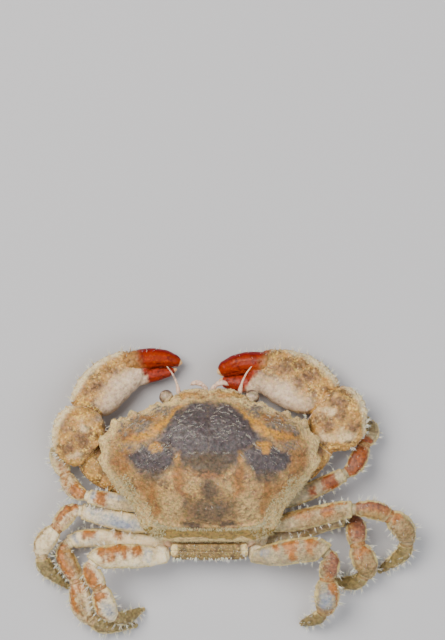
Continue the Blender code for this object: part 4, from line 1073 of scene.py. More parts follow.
legMarkings = {
    # blots on each segment by pigment: place along and across it (1 at the fore or outer edge),
    # half sizes and strength
    "leg2_left": {
        "merus": {"rust": ((0.81, 0.1, 0.08, 1.1, 0.9),), "tan": ((0.55, -0.4, 0.2, 0.8, 0.5),),
            "blue": ((0.93, 0.3, 0.06, 0.7, 0.7), (0.6, 0.5, 0.25, 0.4, 0.5))},
        "carpus": {"rust": ((0.2, 0.2, 0.3, 1.0, 0.9), (0.75, -0.3, 0.25, 0.6, 0.6)),
            "tan": ((0.6, 0.2, 0.5, 0.9, 0.55),)},
        "propodus": {"rust": ((0.1, 0.2, 0.25, 0.7, 0.5),), "tan": ((0.3, 0.1, 0.4, 0.9, 0.6),),
            "olive": ((0.75, 0.0, 0.4, 1.1, 0.75),)},
    },
    "leg3_left": {
        "merus": {"blue": ((0.5, -0.2, 0.3, 0.7, 0.66), (0.8, 0.3, 0.16, 0.6, 0.55),
            (0.5, -0.3, 0.12, 0.4, 1.0)), "rust": ((0.99, 0.3, 0.05, 0.7, 0.4),)},
        "carpus": {"rust": ((0.45, 0.5, 0.5, 0.45, 1.0), (0.95, 0.1, 0.12, 0.9, 0.75),
            (0.45, -0.3, 0.45, 0.5, 0.4)), "brick": ((0.4, 0.85, 0.4, 0.25, 0.8),),
            "tan": ((0.5, -0.5, 0.4, 0.4, 0.5),)},
        "propodus": {"tan": ((0.5, 0.85, 0.6, 0.25, 0.8), (0.95, 0.0, 0.1, 1.0, 0.6))},
    },
    "leg4_left": {
        "merus": {"rust": ((0.73, 0.45, 0.075, 0.55, 1.0), (0.46, 0.4, 0.045, 0.5, 0.7)),
            "blue": ((0.68, 0.1, 0.06, 0.7, 0.5), (0.9, 0.2, 0.05, 0.8, 0.6))},
        "carpus": {"rust": ((0.5, 0.4, 0.5, 0.45, 0.95),), "brick": ((0.5, 0.88, 0.5, 0.22, 1.0),),
            "tan": ((0.55, -0.4, 0.45, 0.7, 0.9),)},
        "propodus": {"rust": ((0.3, 0.55, 0.35, 0.3, 0.85), (0.12, -0.2, 0.12, 0.8, 0.7)),
            "brick": ((0.2, 0.9, 0.3, 0.2, 0.7),), "tan": ((0.5, 0.2, 0.45, 0.6, 0.7),
            (0.9, 0.0, 0.15, 1.0, 0.7))},
    },
    "leg5_left": {
        "merus": {"rust": ((0.81, 0.5, 0.06, 0.55, 1.0), (0.64, 0.6, 0.17, 0.4, 1.0),
            (0.71, 0.1, 0.06, 0.45, 0.8), (0.56, 0.2, 0.05, 0.4, 0.8), (0.42, 0.5, 0.06, 0.55, 0.9),
            (0.8, -0.35, 0.14, 0.16, 0.6)), "tan": ((0.75, -0.3, 0.2, 0.5, 0.4),),
            "blue": ((0.3, 0.2, 0.06, 0.8, 0.5),)},
        "carpus": {"rust": ((0.5, 0.4, 0.45, 0.6, 1.0), (0.95, 0.1, 0.15, 0.6, 0.95))},
        "propodus": {"rust": ((0.15, 0.2, 0.15, 0.6, 0.95), (0.35, 0.75, 0.35, 0.22, 0.8)),
            "tan": ((0.6, 0.7, 0.4, 0.3, 0.7),), "blue": ((0.6, -0.1, 0.34, 0.5, 0.6),)},
    },
    # on the right legs, the wide tan blots that span a segment's whole width are partly the skin's own tan
    # and partly painted shade, for light that falls from the left
    "leg2_right": {
        # the deep orange-red blots here are partly the patches' own colour and partly painted shade
        "merus": {"russetAndShade": ((0.79, 0.1, 0.08, 1.2, 1.0), (0.6, -0.1, 0.04, 0.6, 0.9))},
        "carpus": {"russetAndShade": ((0.45, 0.0, 0.6, 1.0, 1.0),), "brick": ((0.3, 0.3, 0.3, 0.5, 0.7),)},
        "propodus": {"russetAndShade": ((0.12, 0.0, 0.16, 0.9, 1.0),), "olive": ((0.7, 0.0, 0.35, 1.0, 0.6),)},
    },
    "leg3_right": {
        "merus": {"rust": ((0.72, 0.35, 0.07, 0.55, 0.95), (0.5, 0.35, 0.08, 0.4, 0.65),
            (0.86, 0.8, 0.06, 0.25, 0.8)), "brick": ((0.72, 0.5, 0.06, 0.4, 0.5),),
            "tan": ((0.5, 0.7, 0.4, 0.5, 0.75), (0.7, -0.3, 0.35, 0.7, 0.6))},
        "carpus": {"rust": ((0.5, 0.45, 0.5, 0.45, 1.0),), "brick": ((0.45, 0.6, 0.5, 0.5, 0.8),),
            "tan": ((0.5, -0.4, 0.5, 0.7, 0.85),)},
        "propodus": {"rust": ((0.08, 0.3, 0.12, 0.7, 0.8),), "tan": ((0.5, 0.0, 0.5, 1.1, 0.62),),
            "olive": ((0.7, 0.8, 0.4, 0.3, 0.6),)},
    },
    "leg4_right": {
        "merus": {"tan": ((0.7, 0.0, 0.4, 1.1, 0.5),)},
        "carpus": {"rust": ((0.5, 0.2, 0.5, 0.6, 0.9), (0.6, -0.5, 0.3, 0.4, 0.7)),
            "brick": ((0.45, 0.4, 0.55, 0.8, 0.9),)},
        "propodus": {"rust": ((0.15, 0.2, 0.15, 0.8, 0.8),), "tan": ((0.6, 0.0, 0.4, 1.1, 0.66),),
            "olive": ((0.8, 0.0, 0.2, 1.0, 0.5),)},
    },
    "leg5_right": {
        "merus": {"rust": ((0.36, 0.6, 0.045, 0.4, 0.85), (0.53, 0.5, 0.075, 0.55, 1.0),
            (0.55, -0.15, 0.035, 0.5, 0.95), (0.75, 0.55, 0.075, 0.5, 1.0), (0.76, -0.05, 0.05, 0.3, 0.7)),
            "tan": ((0.7, 0.0, 0.3, 1.0, 0.42),), "blue": ((0.22, 0.3, 0.06, 0.6, 0.5),)},
        "carpus": {"rust": ((0.4, 0.35, 0.4, 0.3, 0.85), (0.9, 0.2, 0.14, 0.5, 0.9)),
            "brick": ((0.4, 0.4, 0.5, 0.8, 0.8),), "tan": ((0.5, -0.3, 0.4, 0.5, 0.6),)},
        "propodus": {"rust": ((0.15, 0.5, 0.15, 0.4, 0.9), (0.5, 0.85, 0.4, 0.2, 0.85)),
            "tan": ((0.9, 0.0, 0.15, 1.0, 0.75),), "blue": ((0.5, -0.1, 0.32, 0.5, 0.7),)},
    },
}
limbTubes = {}


def jointWays(joints, lag, lift, lean):
    chords = [unit(b - a) for a, b in zip(joints, joints[1:])]
    outward = unit(vec(math.copysign(1.0, joints[0][0]), -lag, lift))
    middle = [unit(mix(b, a, share)) for a, b, share in zip(chords, chords[1:], (lean, 0.5, 0.5))]
    return [outward] + middle + [chords[-1]]


def segmentPath(start, wayIn, end, wayOut, bend):
    length = np.linalg.norm(end - start)
    first, last = start + wayIn * legs["gap"] / 2.0, end - wayOut * legs["gap"] / 2.0
    a, b = first + wayIn * length * bend, last - wayOut * length * bend
    return [
        first * (1 - t) ** 3 + a * 3 * t * (1 - t) ** 2 + b * 3 * t ** 2 * (1 - t) + last * t ** 3
        for t in (i / 6 for i in range(7))
    ]


def legDetail(strength):
    # two ridges along the upper side with a shallow trough between them, and a lip at the far end
    def detail(share, angles):
        middle = math.sin(math.pi * min(1.0, max(0.0, share)))
        turns = angles / math.pi
        ridge = bell(turns, 0.36, 0.16 / math.pi) + bell(turns, 0.7, 0.16 / math.pi)
        trough = bell(turns, 0.53, 0.2 / math.pi)
        lip = 0.06 * bell(share, 0.965, 0.02) - 0.05 * bell(share, 0.91, 0.025)
        return strength * middle * (ridge - 0.9 * trough) + lip
    return detail


def buildLeg(name):
    places, breadths, sweep = legs[name]
    joints = [vec(*p) for p in places]
    ways = jointWays(joints, *sweep)
    turn = 1.0 if "right" in name else -1.0
    boxy = legs["boxy"]
    for i, (segment, form) in enumerate(segments.items()):
        path = segmentPath(joints[i], ways[i], joints[i + 1], ways[i + 1], form["bend"])
        widths = [p * breadths[i] for p in form["profile"]]
        node = name + "_" + segment
        tube = limbTubes[node] = makeTube(
            path, widths, [w * legs["depth"] for w in widths], ways=(ways[i], ways[i + 1])
        )
        reach = (0.22, 0.5 if segment == "dactylus" else 0.22)
        mesh, share, angle = tubeSkin(
            node + "_skin", tube, legs["sides"], legs["stations"], reach, legDetail(form["ridge"])
        )
        points = unplace(mesh)
        lumps = form["rough"] * roughness(points, 0.6)
        moveOut(mesh, lumps + legs["pebbleHeight"] * pebbles(points, legs["pebbleSize"]))
        points = unplace(mesh)
        points[:, 2] = np.maximum(points[:, 2], 0.0)
        mesh.vertices.foreach_set("co", place(points).ravel())
        length = tubeLength(tube)
        along = share + 0.3 / length * roughness(points, 0.8, 3, 2.0)
        across = -turn * np.cos(angle) + 0.5 / breadths[i] * roughness(points, 0.8, 3, 8.0)
        above = smoothStep(-0.35, 0.25, np.sin(angle))
        # the deep orange-red pigment is rust with painted shade, for the right foreleg
        for pigment in ("tan", "blue", "rust", "russetAndShade", "brick", "olive"):
            field = np.zeros(share.shape)
            for u, v, halfU, halfV, strength in legMarkings[name].get(segment, {}).get(pigment, ()):
                away = np.abs((along - u) / halfU) ** boxy + np.abs((across - v) / halfV) ** boxy
                field = np.maximum(field, strength * np.clip(1.5 - away ** (1 / boxy), 0.0, 1.0))
            if segment == "dactylus" and pigment == "olive":
                field = np.maximum(field, 0.8 * smoothStep(1.0, 0.75, np.abs(across)))
            setField(mesh, pigment, field * np.maximum(above, form["below"]))
        # a darker wash over the upper side: on the right legs it is painted shade
        setField(mesh, "dunAndShade", above * legs["dunAndShade"]["right" if turn > 0.0 else "left"][i])
        ends = np.maximum(smoothStep(0.9, 0.98, share), smoothStep(0.06, 0.0, share))
        setField(mesh, "rim", np.maximum(0.4 * ends, 0.75 * smoothStep(0.72, 0.95, np.abs(across)) * above))
        setField(mesh, "belly", (1.0 - above) * form["belly"])
        finished(linked(node + "_skin", mesh), skins["legs"], [node])
    return joints, ways


coxae = {
    "width": 2.05, "height": 2.0,
    "start": 4.75, "middle": 5.75,  # distances from the crab's middle
    "top": 3.2, "end": 1.05,  # highest start, and how far the block reaches past the hip
    "creaseDepth": 0.12,
}


def buildJoints(name, joints, ways, tubes):
    # soft skin in each joint of a leg
    meshes = []
    for joint, way, before, after in zip(joints[1:], ways[1:], tubes, tubes[1:]):
        wide = min(before["widths"][-1], after["widths"][0])
        tall = min(before["heights"][-1], after["heights"][0])
        start, end = joint - way * 0.5, joint + way * 0.5
        swell = (0.84, 0.97, 0.84)
        skin = makeTube([start, joint, end], [wide * s for s in swell], [tall * s for s in swell])
        meshes.append(tubeSkin("soft", skin, 20, 8)[0])
    counts = [len(mesh.vertices) for mesh in meshes]
    mesh = joinMeshes("joints_" + name, meshes)
    above = smoothStep(-0.4, 0.3, normalsOf(mesh)[:, 2])
    for pigment in ("tan", "rust"):
        setField(mesh, pigment, above * np.repeat(legs["joint" + pigment.title()], counts))
    # the same darker wash on the joints: painted shade on the right legs
    setField(mesh, "dunAndShade", above * legs["dunAndShade"]["right" if "right" in name else "left"][1])
    setField(mesh, "belly", 1.0 - above)
    finished(linked("joints_" + name, mesh), skins["legs"])


def buildCoxa(name, hip, way):
    turn = math.copysign(1.0, hip[0])
    start = vec(turn * coxae["start"], hip[1] + 0.15, min(hip[2], coxae["top"]) - 0.1)
    middle = vec(turn * coxae["middle"], hip[1] + 0.05, hip[2] - 0.1)
    end = hip + way * coxae["end"]
    block = makeTube(
        [start, middle, end],
        [coxae["width"] * s for s in (0.8, 1.0, 0.9, 0.74)],
        [coxae["height"] * s for s in (0.85, 1.0, 0.94, 0.8)], 2.6,
    )

    def detail(share, angles):
        return np.full(angles.shape, -coxae["creaseDepth"] * bell(share, 0.55, 0.03))

    mesh, _, angle = tubeSkin("coxa_" + name, block, 40, 36, (0.3, 0.3), detail)
    moveOut(mesh, 0.03 * roughness(unplace(mesh), 0.6))
    setField(mesh, "belly", smoothStep(0.3, -0.2, np.sin(angle)) * 0.8)
    finished(linked("coxa_" + name, mesh), skins["legs"])


legNames = [key for key in legs if key.startswith("leg")]
for legName in legNames:
    legJoints, legWays = buildLeg(legName)
    legTubes = [limbTubes[legName + "_" + part] for part in segments]
    buildJoints(legName, legJoints[:-1], legWays[:-1], legTubes)
    buildCoxa(legName, legJoints[0], legWays[0])
print("walking legs built")


claws = {
    "claw_left": {
        "arm": (
            (-5.55, 0.1, 2.75), (-7.6, 0.1, 2.85), (-10.2, 0.55, 3.05), (-12.3, 1.55, 3.25),
            (-13.5, 2.75, 3.4),
        ),
        "armWidths": (2.3, 3.3, 4.2, 4.4, 4.2, 3.8), "armHeights": (1.9, 2.3, 2.7, 2.8, 2.7, 2.4),
        "wristMiddle": (-14.8, 5.0, 4.25), "wristHalf": (3.05, 3.45, 1.7),
        "palm": (
            (-13.85, 7.85, 3.15), (-13.35, 8.9, 2.6), (-12.0, 10.5, 2.0), (-10.2, 11.9, 1.8),
            (-8.35, 12.55, 1.75), (-6.9, 12.45, 1.65),
        ),
        "palmWidths": (3.6, 5.0, 5.6, 5.5, 4.9, 3.9, 2.2),
        "palmHeights": (2.5, 3.3, 3.75, 3.7, 3.4, 2.6, 1.8),
        "fixedFinger": (
            (-9.6, 11.3, 1.75), (-8.0, 11.65, 1.7), (-6.3, 11.95, 1.6), (-4.8, 12.2, 1.5),
            (-3.6, 12.6, 1.5),
        ),
        "fixedWidths": (1.9, 2.0, 1.7, 1.15, 0.4),
        "finger": (
            (-9.7, 13.2, 2.5), (-8.2, 13.6, 2.4), (-6.7, 13.85, 2.2), (-5.2, 13.8, 2.0),
            (-4.05, 13.55, 1.8), (-3.05, 13.25, 1.65),
        ),
        "fingerWidths": (2.3, 2.35, 2.25, 2.0, 1.5, 0.5),
        "redLine": ((-7.98, 13.6), (-6.9, 10.6)),
        "smooth": (
            (-12.6, 7.0), (-12.3, 9.0), (-10.8, 11.2), (-9.2, 12.5), (-7.6, 12.9), (-5.5, 12.0),
            (-6.5, 9.8), (-11.0, 6.5),
        ),
        "ember": ((-12.7, 10.6, 1.1, 0.7, 0.9), (-14.2, 10.2, 0.8, 0.7, 0.8), (-11.2, 12.3, 0.9, 0.6, 0.8),
                  (-9.3, 13.4, 0.8, 0.5, 0.7), (-14.4, 4.7, 1.2, 0.7, 0.95), (-16.1, 3.6, 0.8, 0.8, 0.85),
                  (-12.5, 7.0, 1.0, 0.7, 0.8), (-16.4, 6.2, 0.7, 0.9, 0.8), (-13.0, 3.4, 0.8, 0.6, 0.7),
                  (-10.6, 1.0, 1.6, 0.9, 0.7)),
        # the first two pale cream patches are painted highlights on the wrist's lumps
        "cream": ((-14.3, 6.1, 0.9, 0.7, 0.66), (-15.0, 2.9, 0.9, 0.5, 0.66), (-12.0, 4.9, 0.7, 0.9, 0.6)),
    },
    "claw_right": {
        "arm": (
            (5.55, 0.2, 2.75), (7.6, 0.55, 2.85), (9.8, 1.4, 3.05), (11.5, 2.65, 3.25), (12.6, 4.1, 3.4),
        ),
        "armWidths": (2.3, 3.3, 4.1, 4.2, 3.9, 3.6), "armHeights": (1.9, 2.3, 2.7, 2.9, 2.8, 2.5),
        "wristMiddle": (14.45, 7.0, 4.3), "wristHalf": (3.45, 3.8, 1.75),
        "palm": (
            (13.25, 8.85, 3.35), (12.3, 9.8, 2.95), (11.0, 10.6, 2.6), (9.3, 11.35, 2.3), (7.3, 12.0, 2.15),
            (5.65, 12.1, 2.05), (4.2, 11.8, 1.95),
        ),
        "palmWidths": (4.6, 5.7, 6.4, 6.7, 6.4, 5.5, 4.3, 2.5),
        "palmHeights": (2.8, 3.4, 4.0, 4.35, 4.3, 3.9, 3.0, 2.0),
        "fixedFinger": (
            (6.6, 10.9, 1.95), (5.0, 10.9, 1.9), (3.5, 10.95, 1.8), (2.2, 11.05, 1.7), (1.05, 11.3, 1.65),
        ),
        "fixedWidths": (2.1, 2.3, 2.05, 1.6, 0.6),
        "finger": (
            (6.9, 13.2, 3.0), (5.5, 13.3, 2.7), (4.2, 13.3, 2.5), (3.0, 13.05, 2.25), (1.85, 12.6, 2.0),
            (0.9, 12.1, 1.85),
        ),
        "fingerWidths": (2.4, 2.5, 2.45, 2.3, 1.9, 0.7),
        "redLine": ((5.85, 13.2), (3.95, 9.8)),
        "smooth": (
            (12.2, 8.2), (10.4, 9.6), (8.9, 10.7), (7.3, 11.2), (5.6, 12.1), (3.4, 11.0), (3.8, 9.2),
            (8.0, 7.2),
        ),
        "ember": ((8.5, 12.6, 1.2, 0.8, 0.85), (11.7, 11.8, 1.1, 0.6, 0.95), (10.1, 11.2, 0.9, 0.6, 0.9),
                  (10.4, 13.2, 0.9, 0.5, 0.7), (6.4, 13.6, 0.8, 0.6, 0.6), (14.6, 8.8, 1.2, 0.6, 0.95),
                  (14.9, 7.3, 0.8, 0.8, 0.8), (13.1, 6.2, 0.9, 0.9, 0.9), (11.5, 8.1, 0.8, 0.8, 0.8),
                  (16.3, 6.4, 0.7, 1.1, 0.8), (12.3, 3.6, 1.0, 0.8, 0.7), (9.0, 1.2, 1.6, 0.9, 0.6)),
        "cream": ((13.6, 7.6, 0.8, 0.7, 0.66), (15.4, 5.1, 1.3, 0.8, 0.7), (13.2, 4.7, 1.6, 0.8, 0.66)),
    },
}
clawWork = {
    "grain": 0.12,  # the remesh's cell, mm
    "wristPower": 0.86, "wristNodules": 1.15,
    "nodules": 0.75, "noduleHeight": 0.2, "granules": 0.38, "granuleHeight": 0.07,
    "teeth": 4, "firstTooth": 0.42, "toothStep": 0.14, "toothSize": 0.3,  # on the fixed finger
    "grooves": (0.85, 1.6),  # angles of a finger's grooves from its biting side
    "jointFill": 0.97,  # share of the limb's own width
}


def linePlace(points, path):
    # for each point, the share along a finger's middle line and how far it lies to either side
    stops = np.array([tubeCentre(path, i / 60) for i in range(61)])
    gaps = np.linalg.norm(points[:, None, :2] - stops[None, :, :2], axis=2)
    nearest = gaps.argmin(axis=1)
    ways = np.gradient(stops[:, :2], axis=0)
    ways /= np.linalg.norm(ways, axis=1)[:, None]
    offset = points[:, :2] - stops[nearest, :2]
    way = ways[nearest]
    return nearest / 60.0, way[:, 0] * offset[:, 1] - way[:, 1] * offset[:, 0], gaps.min(axis=1)


def ballMesh(middle, radius):
    body = bmesh.new()
    bmesh.ops.create_uvsphere(body, u_segments=16, v_segments=8, radius=1.0)
    for vertex in body.verts:
        vertex.co = place(middle + np.array(vertex.co) * radius)
    mesh = bpy.data.meshes.new("ball")
    body.to_mesh(mesh)
    body.free()
    return mesh


def pastRedLine(points, spec, soft):
    # 0 on the tan crust and 1 on the red fingers, across the slanting line between them
    (ax, ay), (bx, by) = spec["redLine"]
    way = unit(vec(bx - ax, by - ay))
    x, y = wander(points, 0.25, 0.9, 9.0)
    beyond = ((x - ax) * -way[1] + (y - ay) * way[0]) * math.copysign(1.0, -ax)
    return np.clip(0.5 + beyond / soft, 0.0, 1.0)


def crustFields(mesh, spec):
    points, normals = unplace(mesh), normalsOf(mesh)
    x, y = wander(points, 0.45, 1.5)
    above = smoothStep(-0.25, 0.35, normals[:, 2])
    turn = math.copysign(1.0, spec["wristMiddle"][0])
    outward = smoothStep(0.25, 0.9, normals[:, 0] * turn + normals[:, 1] * 0.6)
    setField(mesh, "ember", spots(x, y, spec["ember"]) * above * 0.78)
    # pale cream patches, some of them painted highlights
    setField(mesh, "cream", spots(x, y, spec["cream"]) * above)
    setField(mesh, "smooth", insidePatch(x, y, spec["smooth"], 1.3) * above)
    setField(mesh, "rim", outward * above * 0.8)
    setField(mesh, "belly", (1.0 - above) * (1.0 - 0.5 * outward))
    return points, normals


def buildWrist(name, spec):
    body = bmesh.new()
    bmesh.ops.create_uvsphere(body, u_segments=64, v_segments=40, radius=1.0)
    for vertex in body.verts:
        spoke = signedPower(np.array(vertex.co), clawWork["wristPower"])
        vertex.co = place(spoke * vec(*spec["wristHalf"]) + vec(*spec["wristMiddle"]))
    for end, before in ((spec["arm"][-1], spec["arm"][-2]), (spec["palm"][0], spec["palm"][1])):
        way = unit(vec(*end) - vec(*before))
        cut = bmesh.ops.bisect_plane(
            body, geom=body.verts[:] + body.edges[:] + body.faces[:], dist=1e-7, clear_outer=True,
            plane_co=place(vec(*end) + way * legs["gap"]).tolist(), plane_no=(-way).tolist(),
        )["geom_cut"]
        bmesh.ops.edgeloop_fill(body, edges=[e for e in cut if isinstance(e, bmesh.types.BMEdge)])
    bmesh.ops.recalc_face_normals(body, faces=body.faces)
    mesh = bpy.data.meshes.new(name)
    body.to_mesh(mesh)
    body.free()
    piece = moulded(name + "_wrist_skin", mesh, clawWork["grain"], 5)
    points, normals = crustFields(piece.data, spec)
    above = smoothStep(-0.4, 0.2, normals[:, 2])
    lumps = clawWork["noduleHeight"] * (pebbles(points, clawWork["wristNodules"], 3.0) - 0.5)
    lumps += 0.1 * roughness(points, 1.2, 3)
    moveOut(piece.data, above * (lumps + clawWork["granuleHeight"] * pebbles(points, clawWork["granules"])))
    setField(piece.data, "grain", above * 0.6)
    return finished(piece, skins["clawCrust"], [name + "_wrist"])


def buildArm(name, spec):
    tube = limbTubes[name + "_arm"] = makeTube(spec["arm"], spec["armWidths"], spec["armHeights"])
    mesh = tubeSkin(name + "_arm_skin", tube, 64, 60, (0.35, 0.3))[0]
    piece = linked(name + "_arm_skin", mesh)
    points, normals = crustFields(mesh, spec)
    above = smoothStep(-0.3, 0.3, normals[:, 2])
    moveOut(mesh, 0.05 * roughness(points, 0.9) + above * 0.06 * pebbles(points, 0.5))
    setField(mesh, "grain", above * 0.5)
    return finished(piece, skins["clawCrust"], [name + "_arm"])


def buildPalm(name, spec):
    palm = limbTubes[name + "_palm"] = makeTube(spec["palm"], spec["palmWidths"], spec["palmHeights"], 2.4)
    fixedHeights = [w * 0.92 for w in spec["fixedWidths"]]
    fixed = makeTube(spec["fixedFinger"], spec["fixedWidths"], fixedHeights, 2.1)
    meshes = [
        tubeSkin("palm", palm, 64, 60, (0.5, 0.5))[0],
        tubeSkin("fixed", fixed, 40, 50, (0.2, 0.2), tipClose=0.08)[0],
    ]
    turn = 1.0 if "left" in name else -1.0
    for i in range(clawWork["teeth"]):
        share = clawWork["firstTooth"] + clawWork["toothStep"] * i
        centre, side, _ = tubeFrame(fixed, share)
        reach = 0.5 * smoothPick(spec["fixedWidths"], share) - 0.06
        meshes.append(ballMesh(centre - side * turn * reach, clawWork["toothSize"] * (1.1 - 0.15 * i)))
    piece = moulded(name + "_palm_skin", joinMeshes("palm", meshes), clawWork["grain"], 4)
    mesh = piece.data
    points, normals = crustFields(mesh, spec)
    share, aside, gap = linePlace(points, fixed)
    red = pastRedLine(points, spec, 1.3)
    groove = bell(aside * turn, 0.3, 0.1) + 0.6 * bell(aside * turn, -0.5, 0.08)
    groove *= red * smoothStep(0.15, 0.3, share) * smoothStep(0.96, 0.8, share) * (gap < 1.3)
    groove *= smoothStep(-0.35, 0.2, roughness(points, 0.8, seed=5.0))
    crust = smoothStep(0.5, 0.15, insidePatch(points[:, 0], points[:, 1], spec["smooth"], 0.8))
    crust *= smoothStep(-0.2, 0.35, normals[:, 2]) * (1.0 - smoothStep(0.3, 0.6, red))
    lumps = clawWork["noduleHeight"] * (pebbles(points, clawWork["nodules"]) - 0.45)
    moveOut(mesh, crust * (lumps + clawWork["granuleHeight"] * pebbles(points, clawWork["granules"]))
            + 0.04 * roughness(points, 1.3) - 0.09 * groove)
    points = unplace(mesh)
    points[:, 2] = np.maximum(points[:, 2], 0.0)
    mesh.vertices.foreach_set("co", place(points).ravel())
    setField(mesh, "red", red)
    setField(mesh, "crimson", red * smoothStep(0.2, 0.9, -aside * turn) * 0.4)
    setField(mesh, "groove", groove * 0.8)
    setField(mesh, "tip", smoothStep(0.86, 0.96, share) * red)
    setField(mesh, "grain", crust * 0.8)
    return finished(piece, skins["clawCrust"], [name + "_palm"])


def buildFinger(name, spec):
    heights = [w * 0.9 for w in spec["fingerWidths"]]
    tube = limbTubes[name + "_finger"] = makeTube(spec["finger"], spec["fingerWidths"], heights, 2.1)
    inner = 0.0 if "left" in name else math.pi  # the side that bites
    near, far = clawWork["grooves"]

    def detail(share, angles):
        wrapped = np.abs(np.angle(np.exp(1j * (angles - inner))))
        groove = bell(wrapped, near, 0.14) + 0.5 * bell(wrapped, far, 0.12)
        tooth = bell(wrapped, 0.0, 0.3) * max(0.0, math.sin(share * 22.0)) * smoothStep(0.25, 0.4, share)
        return -0.07 * groove * math.sin(math.pi * share) + 0.12 * tooth

    mesh, share, angle = tubeSkin(name + "_finger_skin", tube, 56, 60, (0.3, 0.2), detail, 0.08)
    points = unplace(mesh)
    wrapped = np.abs(np.angle(np.exp(1j * (angle - inner))))
    base = 1.0 - pastRedLine(points, spec, 1.9)
    rough = base * smoothStep(-0.2, 0.5, np.sin(angle))
    lumps = clawWork["noduleHeight"] * (pebbles(points, clawWork["nodules"]) - 0.45)
    moveOut(mesh, 0.03 * roughness(points, 0.8) + rough * (lumps + 0.1 * pebbles(points, 0.45)))
    setField(mesh, "base", base)
    setField(mesh, "grain", rough * 0.8)
    setField(mesh, "crimson", smoothStep(1.8, 2.7, wrapped) * 0.95)
    groove = bell(wrapped, near, 0.14) + 0.6 * bell(wrapped, far, 0.1)
    groove *= smoothStep(-0.35, 0.2, roughness(points, 0.8, seed=9.0))
    setField(mesh, "groove", groove * smoothStep(0.2, 0.4, share) * smoothStep(0.97, 0.85, share) * 0.75)
    setField(mesh, "tip", smoothStep(0.88, 0.97, share))
    piece = linked(name + "_finger_skin", mesh)
    return finished(piece, skins["fingers"], [name + "_finger"])


def buildClawJoints(name, spec):
    # the crust closes over both joints of a claw with hardly a step
    meshes = []
    for part, end, before in (("arm", -1, -2), ("palm", 0, 1)):
        middle = vec(*spec[part][end])
        way = unit(middle - vec(*spec[part][before]))
        wide, tall = (clawWork["jointFill"] * spec[part + size][end] for size in ("Widths", "Heights"))
        ends = [middle - way * 0.9, middle, middle + way * 0.9]
        meshes.append(tubeSkin("soft", makeTube(ends, [wide] * 3, [tall] * 3), 48, 24)[0])
    mesh = joinMeshes("joints_" + name, meshes)
    points = unplace(mesh)
    moveOut(mesh, 0.06 * roughness(points, 0.7) + 0.08 * pebbles(points, 0.4))
    setField(mesh, "belly", smoothStep(0.35, -0.25, normalsOf(mesh)[:, 2]))
    finished(linked("joints_" + name, mesh), skins["clawCrust"])


clawPieces = []
for clawName, clawSpec in claws.items():
    clawPieces += [work(clawName, clawSpec) for work in (buildWrist, buildArm, buildPalm, buildFinger)]
    buildClawJoints(clawName, clawSpec)
    clawHip, clawElbow = (vec(*p) for p in clawSpec["arm"][:2])
    buildCoxa(clawName, clawHip, unit(clawElbow - clawHip))
print("claws built")


def newTree(name, inputs, attributes):
    # a tree with its named inputs, and the attributes that it reads from the mesh
    tree = bpy.data.node_groups.new(name, "GeometryNodeTree")
    for way in ("INPUT", "OUTPUT"):
        tree.interface.new_socket("Geometry", in_out=way, socket_type="NodeSocketGeometry")
    for label, kind in inputs.items():
        tree.interface.new_socket(label, in_out="INPUT", socket_type="NodeSocket" + kind)
    fields = {}
    for label, kind in attributes.items():
        fields[label] = addNode(
            tree, "GeometryNodeInputNamedAttribute", {"data_type": kind, "Name": label}
        ).outputs[0]
    return tree, addNode(tree, "NodeGroupInput").outputs, fields


def closeTree(tree, instances, rootPlace, material):
    # makes the instances real, keeps each root's place as their UV map, and smooths and paints them
    real = addNode(tree, "GeometryNodeRealizeInstances", {}, {0: instances}).outputs[0]
    mapped = addNode(
        tree, "GeometryNodeStoreNamedAttribute",
        {"data_type": "FLOAT2", "domain": "CORNER", "Name": "OFBake"},
        {"Geometry": real, "Value": rootPlace},
    ).outputs[0]
    smooth = addNode(tree, "GeometryNodeSetShadeSmooth", {}, {0: mapped}).outputs[0]
    painted = addNode(tree, "GeometryNodeSetMaterial", {}, {"Geometry": smooth, "Material": material})
    addNode(tree, "NodeGroupOutput", {}, {0: painted.outputs[0]})
    return tree


def grown(base, tree, values, material):
    # puts a tree on a mesh as its modifier, with the tree's inputs and material filled in
    piece = linked(base.name + "_grown", base)
    modifier = piece.modifiers.new(tree.name, "NODES")
    modifier.node_group = tree
    for item in tree.interface.items_tree:
        if item.in_out == "INPUT" and item.name in values:
            modifier[item.identifier] = values[item.name]
        if item.in_out == "INPUT" and item.socket_type == "NodeSocketMaterial":
            modifier[item.identifier] = material
    return piece


def granuleTree():
    # beads scattered over a skin where its grain field is high
    tree, given, fields = newTree(
        "Granules",
        {"Spacing": "Float", "Density": "Float", "Size": "Float", "Seed": "Int", "Material": "Material"},
        {"grain": "FLOAT", "rootUv": "FLOAT_VECTOR"},
    )
    scatter = addNode(
        tree, "GeometryNodeDistributePointsOnFaces", {"distribute_method": "POISSON"},
        {"Mesh": given["Geometry"], "Distance Min": given["Spacing"], "Density Max": given["Density"],
         "Density Factor": fields["grain"], "Seed": given["Seed"]},
    ).outputs
    bead = addNode(tree, "GeometryNodeMeshUVSphere", {"Segments": 8, "Rings": 5, "Radius": 1.0})
    factor = addNode(
        tree, "FunctionNodeRandomValue", {"data_type": "FLOAT", 2: 0.55, 3: 1.25}, {"Seed": given["Seed"]}
    ).outputs[1]
    size = addNode(
        tree, "ShaderNodeMath", {"operation": "MULTIPLY"}, {0: factor, 1: given["Size"]}
    ).outputs[0]
    flat = addNode(tree, "ShaderNodeMath", {"operation": "MULTIPLY", 1: 0.8}, {0: size}).outputs[0]
    scale = addNode(tree, "ShaderNodeCombineXYZ", {}, {0: size, 1: size, 2: flat}).outputs[0]
    beads = addNode(
        tree, "GeometryNodeInstanceOnPoints", {},
        {"Points": scatter["Points"], "Instance": bead.outputs["Mesh"],
         "Rotation": scatter["Rotation"], "Scale": scale},
    ).outputs[0]
    return closeTree(tree, beads, fields["rootUv"], given["Material"])


